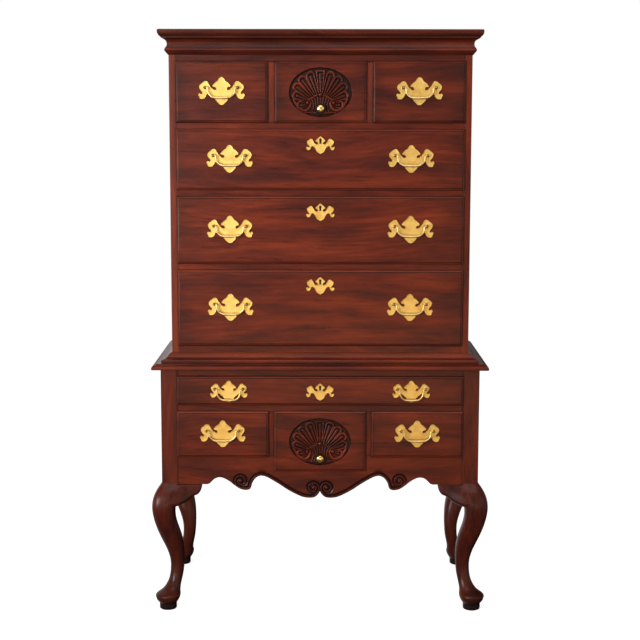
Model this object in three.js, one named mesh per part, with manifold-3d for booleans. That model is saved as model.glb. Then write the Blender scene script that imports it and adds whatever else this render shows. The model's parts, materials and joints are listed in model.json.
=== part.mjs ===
// A flat-top highboy: a tall case of drawers that stands on a lower case with four cabriole legs.
// Millimetres, +Z up. The front faces -Y and X runs to the right.
// The origin is on the floor, below the middle of the lower case.
import * as THREE from 'three';
import { mergeVertices } from 'three/addons/utils/BufferGeometryUtils.js';
import Module from 'manifold-3d';

const wasm = await Module();
wasm.setup();

// Clearances
const seatGap = 0.3;            // between pieces that rest against each other
const drawerSideGap = 1.2;      // between a drawer and each side of its opening
const drawerHeadGap = 2.5;      // above a drawer inside its opening
const drawerBackGap = 8;        // between a closed drawer and the back board
const pinGap = 0.5;             // round a bail's pin inside its post
const cutOverrun = 5;           // how far a cutting shape runs past what it cuts
const joinOverlap = 1;          // how far glued pieces run into each other
const weldGap = 0.003;          // points closer than this are one point

// Sides of round pieces
const voluteSides = 10;
const shellFootSides = 14;
const shellOvalSides = 28;
const knobSides = 10;
const postSides = 8;            // pull posts, their bores and the keyholes
const bailSides = 6;

// The two cases
const lowerWidth = 980;
const lowerDepth = 500;
const caseSetBack = 33;         // upper case behind the front and inside the sides of the lower case
const upperBackThickness = 8;
const upperBoardThickness = 19;
const railThickness = 20;       // front to back
const lowerSideThickness = 20;
const lowerSideSetIn = 1.5;     // side panel inside the outer face of the posts
const lowerBackThickness = 12;
const postShow = 48;            // width of a corner post beside the drawers
const dustBoardThickness = 15;
const guideWidth = 12;          // strips that guide the lower drawers
const guideHeight = 10;

// Heights, from the floor up
const legRise = 402;            // floor to the flat lower edge of the lower case
const apronShow = 86.5;
const lowerSmallHeight = 146;
const shellDrawerDrop = 44;     // how much deeper the lower middle drawer is
const railShow = 17;            // rail seen between two drawers
const lowerLongHeight = 92.5;
const waistRailShow = 20;
const waistBoardThickness = 18;
const waistMouldHeight = 30;
const baseRailShow = 20;
const bottomLongHeight = 236;
const middleLongHeight = 208;
const topLongHeight = 185.5;
const upperSmallHeight = 185.5;
const friezeShow = 17;
const corniceHeight = 75;

// Mouldings
const waistOverhang = 26;       // waist board beyond the lower case
const waistMouldReach = 30.3;   // moulding on the waist board, out from the upper case
const corniceReach = 30.6;

// Legs
const kneeReach = 31.5;         // knee beyond the faces of the case
const kneeBlockLength = 73;
const kneeBlockDrop = 67;

// Apron
const apronThickness = 20;
const apronSetIn = 1;
const scrollSpan = 352;         // half the width of the shaped lower edge
const scrollHeight = 43;        // deepest point below the flat edge
const beadWidth = 9;
const beadCrownWidth = 4;       // flat crown of the bead
const beadHeight = 3.5;         // carved bead in front of the apron
const beadInset = 5.5;          // middle of the bead inside the edge
const outerVoluteRadius = 21;
const centreVoluteRadius = 18;

// Drawers
const upperPartitionShow = 16.5;
const lowerPartitionShow = 14.5;
const stileShow = 18.5;         // edge of the upper side seen beside the drawers
const lipOverlap = 3;
const lipThickness = 8;
const thumbWidth = 6;           // rounded edge of a drawer front
const thumbDepth = 5;
const frontInnerThickness = 12;
const drawerSideThickness = 12;
const drawerBackThickness = 12;
const drawerBottomThickness = 7;
const drawerBottomRise = 8;     // under the drawer bottom

// Carved shells
const shellHalfWidth = 95;
const shellHalfHeight = 73.6;
const shellDrop = 0.6;          // shell's middle below the drawer front's middle
const shellSink = 6;            // depth of the sunk oval
const shellGround = 3;          // least width of the sunk ground round the carving
const shellVoluteRadius = 19;
const shellFootRadius = 32;     // round foot below the flutes, where the knob sits

// Brasses
const plateThickness = 2;
const largePlate = { width: 141, height: 85, postSpan: 99, bailDrop: 30.8, raised: 2.5 };
const smallPlate = { width: 116, height: 68, postSpan: 86, bailDrop: 34, raised: -1 };
const postRadius = 4.6;
const postTip = 5;              // post beyond the pin
const pinStand = 11;            // from the plate's face to the pin
const pinRadius = 2.3;
const pinDepth = 3.4;           // how far a pin enters its post
const bailMiddleRadius = 3.6;
const upperPullInset = 163.5;   // pulls from the ends of the long drawers
const lowerPullInset = 162;
const escutcheonWidth = 87;
const escutcheonHeight = 54;
const escutcheonThickness = 1.6;
const escutcheonDrop = 49;      // below the top edge of a drawer front
const keyRadius = 2.9;
const keySlotWidth = 3;
const keySlotLength = 9;
const knobRadius = 12;
const knobNeckRadius = 5;
const knobLength = 22;
const knobRise = 43.5;          // above the lower edge of the drawer front

// Places that follow from these sizes
const upperWidth = lowerWidth - 2 * caseSetBack;
const lowerHalf = lowerWidth / 2;
const upperHalf = upperWidth / 2;
const frontY = -lowerDepth / 2;
const backY = lowerDepth / 2;
const upperFrontY = frontY + caseSetBack;
const kneeBlockDepth = apronSetIn + apronThickness;
const upperSideThickness = stileShow + lipOverlap;
const postWidth = postShow + lipOverlap;
const postInner = lowerHalf - postWidth;
const upperInner = upperHalf - upperSideThickness;
const lowerSmallFoot = legRise + apronShow;
const lowerSmallHead = lowerSmallFoot + lowerSmallHeight;
const lowerLongFoot = lowerSmallHead + railShow;
const lowerLongHead = lowerLongFoot + lowerLongHeight;
const waistFoot = lowerLongHead + waistRailShow;
const waistTop = waistFoot + waistBoardThickness;
const waistMouldTop = waistTop + waistMouldHeight;
const upperFoot = waistTop + seatGap;
const bottomLongFoot = waistMouldTop + baseRailShow;
const bottomLongHead = bottomLongFoot + bottomLongHeight;
const middleLongFoot = bottomLongHead + railShow;
const middleLongHead = middleLongFoot + middleLongHeight;
const topLongFoot = middleLongHead + railShow;
const topLongHead = topLongFoot + topLongHeight;
const upperSmallFoot = topLongHead + railShow;
const upperSmallHead = upperSmallFoot + upperSmallHeight;
const corniceFoot = upperSmallHead + friezeShow;
const topZ = corniceFoot + corniceHeight;
const upperBoardFoot = topZ - upperBoardThickness;

// Geometry helpers

// Turns the faces of a closed indexed geometry outwards.
function facingOut(geometry) {
  const place = geometry.attributes.position;
  const index = geometry.index;
  const a = new THREE.Vector3();
  const b = new THREE.Vector3();
  const c = new THREE.Vector3();
  let volume = 0;
  for (let i = 0; i < index.count; i += 3) {
    a.fromBufferAttribute(place, index.getX(i));
    b.fromBufferAttribute(place, index.getX(i + 1));
    c.fromBufferAttribute(place, index.getX(i + 2));
    volume += a.dot(b.cross(c));
  }
  if (volume < 0) {
    for (let i = 0; i < index.count; i += 3) {
      const second = index.getX(i + 1);
      index.setX(i + 1, index.getX(i + 2));
      index.setX(i + 2, second);
    }
  }
  geometry.computeVertexNormals();
  return geometry;
}

// Skins a row of closed rings and caps both ends. The cap's outline is given where it isn't convex.
function loft(rings, capOutline) {
  const count = rings[0].length;
  const positions = rings.flat().flatMap((point) => [point.x, point.y, point.z]);
  const faces = [];
  for (let i = 0; i + 1 < rings.length; i += 1) {
    for (let j = 0; j < count; j += 1) {
      const next = (j + 1) % count;
      const low = i * count;
      const high = low + count;
      faces.push(low + j, low + next, high + next, low + j, high + next, high + j);
    }
  }
  const fan = Array.from({ length: count - 2 }, (_, j) => [0, j + 1, j + 2]);
  const cap = capOutline ? THREE.ShapeUtils.triangulateShape(capOutline, []) : fan;
  const turned = capOutline && THREE.ShapeUtils.isClockWise(capOutline);
  const last = (rings.length - 1) * count;
  for (const [a, b, c] of cap) {
    const [p, q] = turned ? [c, b] : [b, c];
    faces.push(a, q, p, last + a, last + p, last + q);
  }
  const geometry = new THREE.BufferGeometry();
  geometry.setAttribute('position', new THREE.Float32BufferAttribute(positions, 3));
  geometry.setIndex(faces);
  return facingOut(geometry);
}

function box(x0, x1, y0, y1, z0, z1) {
  const geometry = new THREE.BoxGeometry(x1 - x0, y1 - y0, z1 - z0);
  return geometry.translate((x0 + x1) / 2, (y0 + y1) / 2, (z0 + z1) / 2);
}

// A plate whose outline lies in X and Z, from front to back.
function plateOf(outline, front, back) {
  const shape = new THREE.Shape(outline);
  const geometry = new THREE.ExtrudeGeometry(shape, { depth: back - front, bevelEnabled: false });
  return geometry.rotateX(Math.PI / 2).translate(0, back, 0);
}

// A disc that faces the front.
function disc(radius, front, back, x, z, sides) {
  const geometry = new THREE.CylinderGeometry(radius, radius, back - front, sides);
  return geometry.translate(x, (front + back) / 2, z);
}

// A turned piece whose axis runs out to the front from y. The profile gives radius and reach.
function turned(profile, x, y, z, sides) {
  const points = profile.map(([radius, reach]) => new THREE.Vector2(radius, reach));
  const geometry = new THREE.LatheGeometry(points, sides).rotateX(Math.PI);
  return facingOut(geometry.translate(x, y, z));
}

function solidOf(geometry) {
  const bare = geometry.clone();
  bare.deleteAttribute('normal');
  bare.deleteAttribute('uv');
  const merged = mergeVertices(bare, weldGap);
  return new wasm.Manifold(new wasm.Mesh({
    numProp: 3,
    vertProperties: merged.attributes.position.array,
    triVerts: new Uint32Array(merged.index.array),
  }));
}

function geometryOf(solid) {
  const mesh = solid.getMesh();
  const geometry = new THREE.BufferGeometry();
  geometry.setAttribute('position', new THREE.BufferAttribute(mesh.vertProperties, 3));
  geometry.setIndex(new THREE.BufferAttribute(mesh.triVerts, 1));
  geometry.computeVertexNormals();
  return geometry;
}

function joined(...pieces) {
  return geometryOf(pieces.map(solidOf).reduce((whole, piece) => whole.add(piece)));
}

function without(geometry, ...tools) {
  return geometryOf(tools.map(solidOf).reduce((rest, tool) => rest.subtract(tool), solidOf(geometry)));
}

// Both halves of an outline that is given from its top middle to its bottom middle.
function bothHalves(shares, halfWidth, halfHeight, x = 0, z = 0) {
  const right = shares.map(([a, b]) => new THREE.Vector2(x + a * halfWidth, z + b * halfHeight));
  const inner = shares.slice(1, -1).reverse();
  const left = inner.map(([a, b]) => new THREE.Vector2(x - a * halfWidth, z + b * halfHeight));
  return [...right, ...left];
}

// A round rod along points that lie in a plane across Y, with its own radius at each point.
function rod(points, radii, sides) {
  const across = new THREE.Vector3(0, 1, 0);
  const rings = points.map((point, i) => {
    const before = points[Math.max(i - 1, 0)];
    const after = points[Math.min(i + 1, points.length - 1)];
    const side = new THREE.Vector3().subVectors(after, before).normalize().cross(across);
    return Array.from({ length: sides }, (_, j) => {
      const angle = (j / sides) * 2 * Math.PI;
      return point.clone()
        .addScaledVector(side, radii[i] * Math.cos(angle))
        .addScaledVector(across, radii[i] * Math.sin(angle));
    });
  });
  return loft(rings);
}

// Finishes and the group of named meshes

const cherry = () => new THREE.MeshStandardMaterial({ color: 0x6b2c1f, roughness: 0.42, metalness: 0 });
const innerWood = () => new THREE.MeshStandardMaterial({ color: 0xa9825a, roughness: 0.7, metalness: 0 });
const brass = () => new THREE.MeshStandardMaterial({ color: 0xdcb35a, roughness: 0.28, metalness: 1 });

const highboy = new THREE.Group();

function place(parent, name, geometry, material, at = [0, 0, 0]) {
  const mesh = new THREE.Mesh(geometry, material);
  mesh.name = name;
  mesh.position.set(...at);
  parent.add(mesh);
}

const bothSides = [['left', -1], ['right', 1]];

// Cabriole legs. Each leg is one with its corner post and has glued knee blocks.
// It is drawn with the case's corner at zero and inward positive, then put on each corner.

// Height as a share of the leg's rise, the outer edge as a share of the knee's reach (plus is
// beyond the case), the inner edge as a share of the post's width, and how square the section is.
const legShares = [
  [0, 0.42, 0.79, 2],
  [0.054, 0.42, 0.79, 2],
  [0.067, 0.62, 0.87, 2],
  [0.087, 0.73, 0.98, 2],
  [0.106, 0.81, 1.03, 2],
  [0.12, 0.67, 1.03, 2],
  [0.15, 0.22, 1, 2],
  [0.2, -0.31, 1.06, 2],
  [0.28, -0.6, 1.19, 2.2],
  [0.35, -0.62, 1.25, 2.2],
  [0.42, -0.46, 1.26, 2.3],
  [0.5, -0.11, 1.23, 2.4],
  [0.58, 0.27, 1.12, 2.6],
  [0.66, 0.61, 0.96, 2.9],
  [0.73, 0.84, 0.84, 3.1],
  [0.79, 0.97, 0.8, 3.3],
  [0.845, 1, 0.86, 3.6],
  [0.9, 0.9, 0.93, 4],
  [0.94, 0.63, 0.96, 4.5],
  [0.975, 0.39, 0.98, 5],
  [1, 0.15, 1, 6],
  [1.025, 0, 1, 8],
];
const legSides = 16;

function legSection([heightShare, outShare, inShare, squareness]) {
  const outer = -outShare * kneeReach;
  const inner = inShare * postWidth;
  const centre = (outer + inner) / 2;
  const halfSize = (inner - outer) / 2;
  const grow = (value) => Math.sign(value) * Math.abs(value) ** (2 / squareness);
  return Array.from({ length: legSides }, (_, i) => {
    const angle = (i / legSides) * 2 * Math.PI;
    const across = centre + halfSize * grow(Math.cos(angle));
    const deep = centre + halfSize * grow(Math.sin(angle));
    return new THREE.Vector3(across, deep, heightShare * legRise);
  });
}

// Along the block, its drop and its bulge, as shares of the block's length, drop and knee's reach.
const kneeBlockShares = [
  [-0.3, 1, 0.8],
  [0, 0.98, 0.76],
  [0.29, 0.88, 0.56],
  [0.63, 0.57, 0.36],
  [0.89, 0.4, 0.24],
  [1, 0.1, 0.12],
];
// The block's rounded face, downwards: out as a share of its bulge and up as a share of its drop.
const kneeFaceShares = [[0.33, 1], [1, 0.67], [0.8, 0.33], [0.25, 0]];

function kneeBlock(alongX) {
  const head = legRise - seatGap;
  const rings = kneeBlockShares.map(([alongShare, dropShare, bulgeShare]) => {
    const along = postWidth + alongShare * kneeBlockLength;
    const foot = head - dropShare * kneeBlockDrop;
    const face = kneeFaceShares.map(([outShare, upShare]) => (
      [-outShare * bulgeShare * kneeReach, foot + upShare * (head - foot)]
    ));
    const section = [[kneeBlockDepth, head], ...face, [kneeBlockDepth, foot]];
    return section.map(([deep, z]) => new THREE.Vector3(alongX ? along : deep, alongX ? deep : along, z));
  });
  return loft(rings);
}

function leg(isFront) {
  const shaft = loft(legShares.map(legSection));
  const post = box(0, postWidth, 0, postWidth, legRise, waistFoot - seatGap);
  const blocks = isFront ? [kneeBlock(true), kneeBlock(false)] : [kneeBlock(false)];
  return joined(shaft, post, ...blocks);
}

for (const [end, endSign] of [['front', -1], ['rear', 1]]) {
  for (const [side, sideSign] of bothSides) {
    const geometry = leg(end === 'front').scale(-sideSign, -endSign, 1);
    const at = [sideSign * lowerHalf, endSign * lowerDepth / 2, 0];
    place(highboy, `leg_${end}_${side}`, facingOut(geometry), cherry(), at);
  }
}

// Lower case
const lowerOpeningFoot = lowerSmallFoot + lipOverlap;
const shellDrawerFoot = lowerSmallFoot - shellDrawerDrop;
const shellOpeningFoot = shellDrawerFoot + lipOverlap;
const lowerSpan = lowerWidth - 2 * postShow;
const lowerSmallWidth = (lowerSpan - 2 * lowerPartitionShow) / 3;
const lowerShellEdge = lowerSmallWidth / 2;
const lowerPartitionInner = lowerShellEdge - lipOverlap;
const lowerPartitionOuter = lowerShellEdge + lowerPartitionShow + lipOverlap;
const lowerFill = postInner - seatGap;
const lowerRailY = frontY + railThickness;
const lowerBackY = backY - lowerBackThickness;
const postBackY = frontY + postWidth + seatGap;
const lowerBoardEnd = lowerHalf - lowerSideSetIn - lowerSideThickness - seatGap;

for (const [side, sign] of bothSides) {
  const outer = lowerHalf - lowerSideSetIn;
  const across = [sign * outer, sign * (outer - lowerSideThickness)].sort((a, b) => a - b);
  const deep = lowerDepth / 2 - postWidth - seatGap;
  const geometry = box(...across, -deep, deep, legRise, waistFoot - seatGap);
  place(highboy, `lower_side_${side}`, geometry, cherry());
}

place(highboy, 'lower_back', box(
  -lowerFill, lowerFill, lowerBackY, backY, legRise, waistFoot - seatGap,
), innerWood());

// The apron's lower edge from the end of its flat part to the middle, in three stretches:
// across as a share of the scroll's span, up as a share of its drop.
const outerScrollShares = [
  [1, 0], [0.975, 0.1], [0.928, 0.45], [0.886, 0.51], [0.838, 0.4], [0.787, 0.18],
  [0.752, -0.05], [0.707, -0.3], [0.656, -0.38], [0.617, -0.33], [0.603, -0.14],
];
const beadedScrollShares = [
  [0.598, 0.08], [0.585, 0.3], [0.56, 0.5], [0.52, 0.6], [0.474, 0.56], [0.423, 0.33],
  [0.352, -0.04], [0.281, -0.42], [0.191, -0.83], [0.14, -0.965], [0.089, -1], [0.052, -0.965],
];
const centreScrollShares = [[0.03, -0.86], [0.014, -0.7], [0.006, -0.6], [0, -0.51]];
// The middles of the carved volutes.
const outerVoluteShares = [0.699, 0.267];
const centreVoluteShares = [0.058, -0.233];

function apronPoint([acrossShare, upShare]) {
  return new THREE.Vector2(acrossShare * scrollSpan, legRise + upShare * scrollHeight);
}

function apronBead(sign) {
  const edge = beadedScrollShares.map(apronPoint);
  const faceY = frontY + apronSetIn;
  const section = [
    [-beadWidth / 2, joinOverlap], [-beadCrownWidth / 2, -beadHeight],
    [beadCrownWidth / 2, -beadHeight], [beadWidth / 2, joinOverlap],
  ];
  const rings = edge.map((point, i) => {
    const before = edge[Math.max(i - 1, 0)];
    const after = edge[Math.min(i + 1, edge.length - 1)];
    const along = new THREE.Vector2().subVectors(after, before).normalize();
    const inward = new THREE.Vector2(along.y, -along.x);
    return section.map(([offset, proud]) => {
      const place = point.clone().addScaledVector(inward, beadInset + offset);
      return new THREE.Vector3(sign * place.x, faceY + proud, place.y);
    });
  });
  return loft(rings);
}

function apron() {
  const lower = [...outerScrollShares, ...beadedScrollShares, ...centreScrollShares].map(apronPoint);
  const mirrored = lower.slice(0, -1).reverse().map((point) => new THREE.Vector2(-point.x, point.y));
  const outline = [
    new THREE.Vector2(lowerFill, lowerOpeningFoot), new THREE.Vector2(lowerFill, legRise),
    ...lower, ...mirrored,
    new THREE.Vector2(-lowerFill, legRise), new THREE.Vector2(-lowerFill, lowerOpeningFoot),
    new THREE.Vector2(-lowerPartitionInner, lowerOpeningFoot),
    new THREE.Vector2(-lowerPartitionInner, shellOpeningFoot),
    new THREE.Vector2(lowerPartitionInner, shellOpeningFoot),
    new THREE.Vector2(lowerPartitionInner, lowerOpeningFoot),
  ];
  const faceY = frontY + apronSetIn;
  const board = plateOf(outline, faceY, faceY + apronThickness);
  const carving = bothSides.flatMap(([, sign]) => {
    const outer = apronPoint(outerVoluteShares);
    const centre = apronPoint(centreVoluteShares);
    const back = faceY + joinOverlap;
    return [
      apronBead(sign),
      disc(outerVoluteRadius, faceY - beadHeight, back, sign * outer.x, outer.y, voluteSides),
      disc(centreVoluteRadius, faceY - beadHeight, back, sign * centre.x, centre.y, voluteSides),
    ];
  });
  return joined(board, ...carving);
}
place(highboy, 'apron', apron(), cherry());

// A board of the lower case, cut out round the posts, with a guide strip for the drawers on each side.
function fitted(board, guideFoot) {
  const notches = bothSides.flatMap(([, sign]) => {
    const across = [sign * lowerFill, sign * lowerHalf].sort((a, b) => a - b);
    return [
      box(...across, frontY - cutOverrun, postBackY, legRise, waistFoot),
      box(...across, -postBackY, backY, legRise, waistFoot),
    ];
  });
  const guides = bothSides.map(([, sign]) => {
    const across = [sign * postInner, sign * (postInner + guideWidth)].sort((a, b) => a - b);
    return box(...across, postBackY, -postBackY, guideFoot - joinOverlap, guideFoot + guideHeight);
  });
  return joined(without(board, ...notches), ...guides);
}

// The stepped dust board that carries the three lower drawers.
const boardFront = frontY + apronSetIn + apronThickness + seatGap;
function lowerBottom() {
  const innerWall = lowerPartitionInner + dustBoardThickness;
  const right = [
    [lowerPartitionInner, shellOpeningFoot], [lowerPartitionInner, lowerOpeningFoot],
    [lowerBoardEnd, lowerOpeningFoot], [lowerBoardEnd, lowerOpeningFoot - dustBoardThickness],
    [innerWall, lowerOpeningFoot - dustBoardThickness],
    [innerWall, shellOpeningFoot - dustBoardThickness],
  ];
  const left = [...right].reverse().map(([x, z]) => [-x, z]);
  const outline = [...right, ...left].map(([x, z]) => new THREE.Vector2(x, z));
  return fitted(plateOf(outline, boardFront, lowerBackY - seatGap), lowerOpeningFoot);
}
place(highboy, 'lower_bottom', lowerBottom(), innerWood());

// A dust board with the two partitions that stand on it or hang from it.
function partitioned(board, inner, outer, front, back, foot, head) {
  const walls = bothSides.map(([, sign]) => {
    const across = [sign * inner, sign * outer].sort((a, b) => a - b);
    return box(...across, front, back, foot, head);
  });
  return joined(board, ...walls);
}
const lowerShelfFoot = lowerSmallHead - lipOverlap;
const lowerShelfHead = lowerLongFoot + lipOverlap;
place(highboy, 'lower_shelf', partitioned(
  fitted(
    box(-lowerBoardEnd, lowerBoardEnd, frontY, lowerBackY - seatGap, lowerShelfFoot, lowerShelfHead),
    lowerShelfHead,
  ),
  lowerPartitionInner, lowerPartitionOuter, frontY, lowerBackY - seatGap,
  lowerOpeningFoot + seatGap, lowerShelfFoot + joinOverlap,
), cherry());

// Waist board with its rounded edge, the moulding that holds the upper case and the rail below it.

// Out as a share of the overhang and up as a share of the board's thickness.
const waistEdgeShares = [[0.9, 0], [1, 0.12], [1, 0.45], [0.87, 0.72], [0.6, 0.86], [0.5, 0.9], [0.46, 1]];

// The rectangle of a board that stands out at the front and both sides but is flush at the back.
function threeSided(halfWidth, front, reach, z) {
  return [
    new THREE.Vector3(-halfWidth - reach, front - reach, z),
    new THREE.Vector3(halfWidth + reach, front - reach, z),
    new THREE.Vector3(halfWidth + reach, backY, z),
    new THREE.Vector3(-halfWidth - reach, backY, z),
  ];
}

// A moulding mitred round the front and both sides of the upper case.
function wrapped(profile) {
  const stations = [[-1, backY, 0], [-1, upperFrontY, 1], [1, upperFrontY, 1], [1, backY, 0]];
  const rings = stations.map(([sign, y, forward]) => profile.map((point) => (
    new THREE.Vector3(sign * (upperHalf + point.x), y - forward * point.x, point.y)
  )));
  return loft(rings, profile);
}

// Out as a share of the moulding's reach and up as a share of its height.
const waistMouldShares = [[1, 0], [1, 0.36], [0.78, 0.4], [0.52, 0.53], [0.3, 0.7], [0.12, 0.87], [0.03, 1]];

function waistBoard() {
  const board = loft(waistEdgeShares.map(([outShare, upShare]) => threeSided(
    lowerHalf, frontY, outShare * waistOverhang, waistFoot + upShare * waistBoardThickness,
  )));
  const outer = waistMouldShares.map(([outShare, upShare]) => new THREE.Vector2(
    outShare * waistMouldReach, waistTop + upShare * waistMouldHeight,
  ));
  const profile = [
    new THREE.Vector2(seatGap, waistTop - joinOverlap),
    new THREE.Vector2(waistMouldReach, waistTop - joinOverlap),
    ...outer,
    new THREE.Vector2(seatGap, waistMouldTop),
  ];
  const rail = box(
    -lowerFill, lowerFill, frontY, lowerRailY, lowerLongHead - lipOverlap, waistFoot + joinOverlap,
  );
  return joined(board, wrapped(profile), rail);
}
place(highboy, 'waist_board', waistBoard(), cherry());

// Upper case
const upperFill = upperInner - seatGap;
const upperRailY = upperFrontY + railThickness;
const upperBackY = backY - upperBackThickness;
const upperSpan = upperWidth - 2 * stileShow;
const upperSmallWidth = (upperSpan - 2 * upperPartitionShow) / 3;
const upperPartitionInner = upperSmallWidth / 2 - lipOverlap;
const upperPartitionOuter = upperSmallWidth / 2 + upperPartitionShow + lipOverlap;
const upperOpeningHead = upperSmallHead - lipOverlap;

for (const [side, sign] of bothSides) {
  const across = [sign * upperHalf, sign * upperInner].sort((a, b) => a - b);
  const geometry = box(...across, upperFrontY, backY, upperFoot, upperBoardFoot - seatGap);
  place(highboy, `upper_side_${side}`, geometry, cherry());
}

place(highboy, 'upper_back', box(
  -upperFill, upperFill, upperBackY, backY, upperFoot, upperBoardFoot - seatGap,
), innerWood());

place(highboy, 'upper_top', joined(
  box(-upperHalf, upperHalf, upperFrontY, backY, upperBoardFoot, topZ),
  box(-upperFill, upperFill, upperFrontY, upperRailY, upperOpeningHead, upperBoardFoot + joinOverlap),
), cherry());

place(highboy, 'upper_bottom', joined(
  box(
    -upperFill, upperFill, upperFrontY, upperBackY - seatGap,
    bottomLongFoot + lipOverlap - dustBoardThickness, bottomLongFoot + lipOverlap,
  ),
  box(-upperFill, upperFill, upperFrontY, upperRailY, upperFoot, bottomLongFoot),
), cherry());

const upperShelfPlaces = [
  ['upper_shelf_3', bottomLongHead, middleLongFoot],
  ['upper_shelf_2', middleLongHead, topLongFoot],
];
for (const [name, under, over] of upperShelfPlaces) {
  const geometry = box(
    -upperFill, upperFill, upperFrontY, upperBackY - seatGap, under - lipOverlap, over + lipOverlap,
  );
  place(highboy, name, geometry, cherry());
}
place(highboy, 'upper_shelf_1', partitioned(
  box(
    -upperFill, upperFill, upperFrontY, upperBackY - seatGap,
    topLongHead - lipOverlap, upperSmallFoot + lipOverlap,
  ),
  upperPartitionInner, upperPartitionOuter, upperFrontY, upperBackY - seatGap,
  upperSmallFoot, upperOpeningHead - seatGap,
), cherry());

// Out as a share of the cornice's reach and up as a share of its height, from the foot.
const corniceShares = [
  [0.02, 0], [0.14, 0.045], [0.32, 0.13], [0.36, 0.19], [0.33, 0.24], [0.22, 0.3], [0.14, 0.36],
  [0.12, 0.43], [0.15, 0.5], [0.24, 0.57], [0.4, 0.63], [0.62, 0.665], [0.67, 0.67], [0.69, 0.71],
  [0.8, 0.73], [0.92, 0.79], [0.99, 0.86], [1, 0.93], [0.95, 1],
];
const corniceOutline = [
  new THREE.Vector2(seatGap, corniceFoot),
  ...corniceShares.map(([outShare, upShare]) => new THREE.Vector2(
    seatGap + outShare * corniceReach, corniceFoot + upShare * corniceHeight,
  )),
  new THREE.Vector2(seatGap, topZ),
];
place(highboy, 'cornice', wrapped(corniceOutline), cherry());

// Drawers. Each one is glued up: a lipped front, two sides, a back and a bottom.

// Inset as a share of the rounded edge's width and its fall as a share of the edge's depth.
const thumbShares = [[0, 1], [0.16, 0.5], [0.55, 0.12], [1, 0]];

function lippedFront(across, up, backOfLip) {
  const face = backOfLip - lipThickness;
  const ring = (inset, y) => [
    new THREE.Vector3(across[0] + inset, y, up[0] + inset),
    new THREE.Vector3(across[1] - inset, y, up[0] + inset),
    new THREE.Vector3(across[1] - inset, y, up[1] - inset),
    new THREE.Vector3(across[0] + inset, y, up[1] - inset),
  ];
  const rounded = thumbShares.map(([inShare, fallShare]) => (
    ring(inShare * thumbWidth, face + fallShare * thumbDepth)
  ));
  return loft([ring(0, backOfLip), ...rounded]);
}

function drawer({ across, up, caseFront, caseBack }) {
  const backOfLip = caseFront - seatGap;
  const inside = lipOverlap + drawerSideGap;
  const x0 = across[0] + inside;
  const x1 = across[1] - inside;
  const z0 = up[0] + lipOverlap + seatGap;
  const z1 = up[1] - lipOverlap - drawerHeadGap;
  const back = caseBack - drawerBackGap;
  const bottomTop = z0 + drawerBottomRise + drawerBottomThickness;
  const hollowFront = caseFront + frontInnerThickness;
  const hollow = [
    x0 + drawerSideThickness, x1 - drawerSideThickness,
    hollowFront, back - drawerBackThickness,
  ];
  return without(
    joined(
      lippedFront(across, up, backOfLip),
      box(x0, x1, backOfLip - joinOverlap, back, z0, z1),
    ),
    box(...hollow, bottomTop, z1 + cutOverrun),
    box(...hollow, z0 - cutOverrun, z0 + drawerBottomRise),
  );
}

// A carved shell in a sunk oval: nine flutes that fan out, a volute at each side and a round foot.
const fluteCount = 9;
const fluteSteps = 4;
const fanSpreadShare = 1.22;      // of a half turn
const fanCentreShare = -0.42;     // of the half height
const fanRimShare = 0.93;         // of the oval
const scallopShare = 0.06;        // how far the rim dips between flutes
const shellVoluteShares = [0.5, -0.52];

// Depths below the face as shares of the sink
const fluteFootShare = 0.5;
const fluteRidgeShare = 0.1;
const fluteHollowShare = 0.6;
const fluteRimShare = 0.4;
const carvedShare = 0.25;         // volutes and round foot
const fluteShoulderShare = 0.85;  // where a flute is deepest, of its reach

// How far it is from the fan's centre to the oval, along an angle.
function ovalReach(angle) {
  const a = shellHalfWidth;
  const b = shellHalfHeight;
  const start = fanCentreShare * b;
  const dx = Math.cos(angle) / a;
  const dz = Math.sin(angle) / b;
  const square = dx * dx + dz * dz;
  const along = (start / b) * dz;
  const rest = (start / b) ** 2 - 1;
  return (-along + Math.sqrt(along * along - square * rest)) / square;
}

function shellFan(x, z, face) {
  const floor = face + shellSink + joinOverlap;
  const steps = fluteCount * fluteSteps;
  const spread = fanSpreadShare * Math.PI;
  const rings = Array.from({ length: steps + 1 }, (_, i) => {
    const angle = (Math.PI - spread) / 2 + (spread * i) / steps;
    const hollow = Math.sin((Math.PI * (i % fluteSteps)) / fluteSteps);
    const reach = ovalReach(angle) * (fanRimShare - scallopShare * (1 - hollow));
    const shoulderShare = fluteRidgeShare + (fluteHollowShare - fluteRidgeShare) * hollow;
    const section = [
      [shellFootRadius / 2, floor],
      [shellFootRadius / 2, face + fluteFootShare * shellSink],
      [fluteShoulderShare * reach, face + shoulderShare * shellSink],
      [reach, face + fluteRimShare * shellSink],
      [reach, floor],
    ];
    return section.map(([radius, y]) => new THREE.Vector3(
      x + radius * Math.cos(angle), y, z + fanCentreShare * shellHalfHeight + radius * Math.sin(angle),
    ));
  });
  return loft(rings);
}

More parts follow.
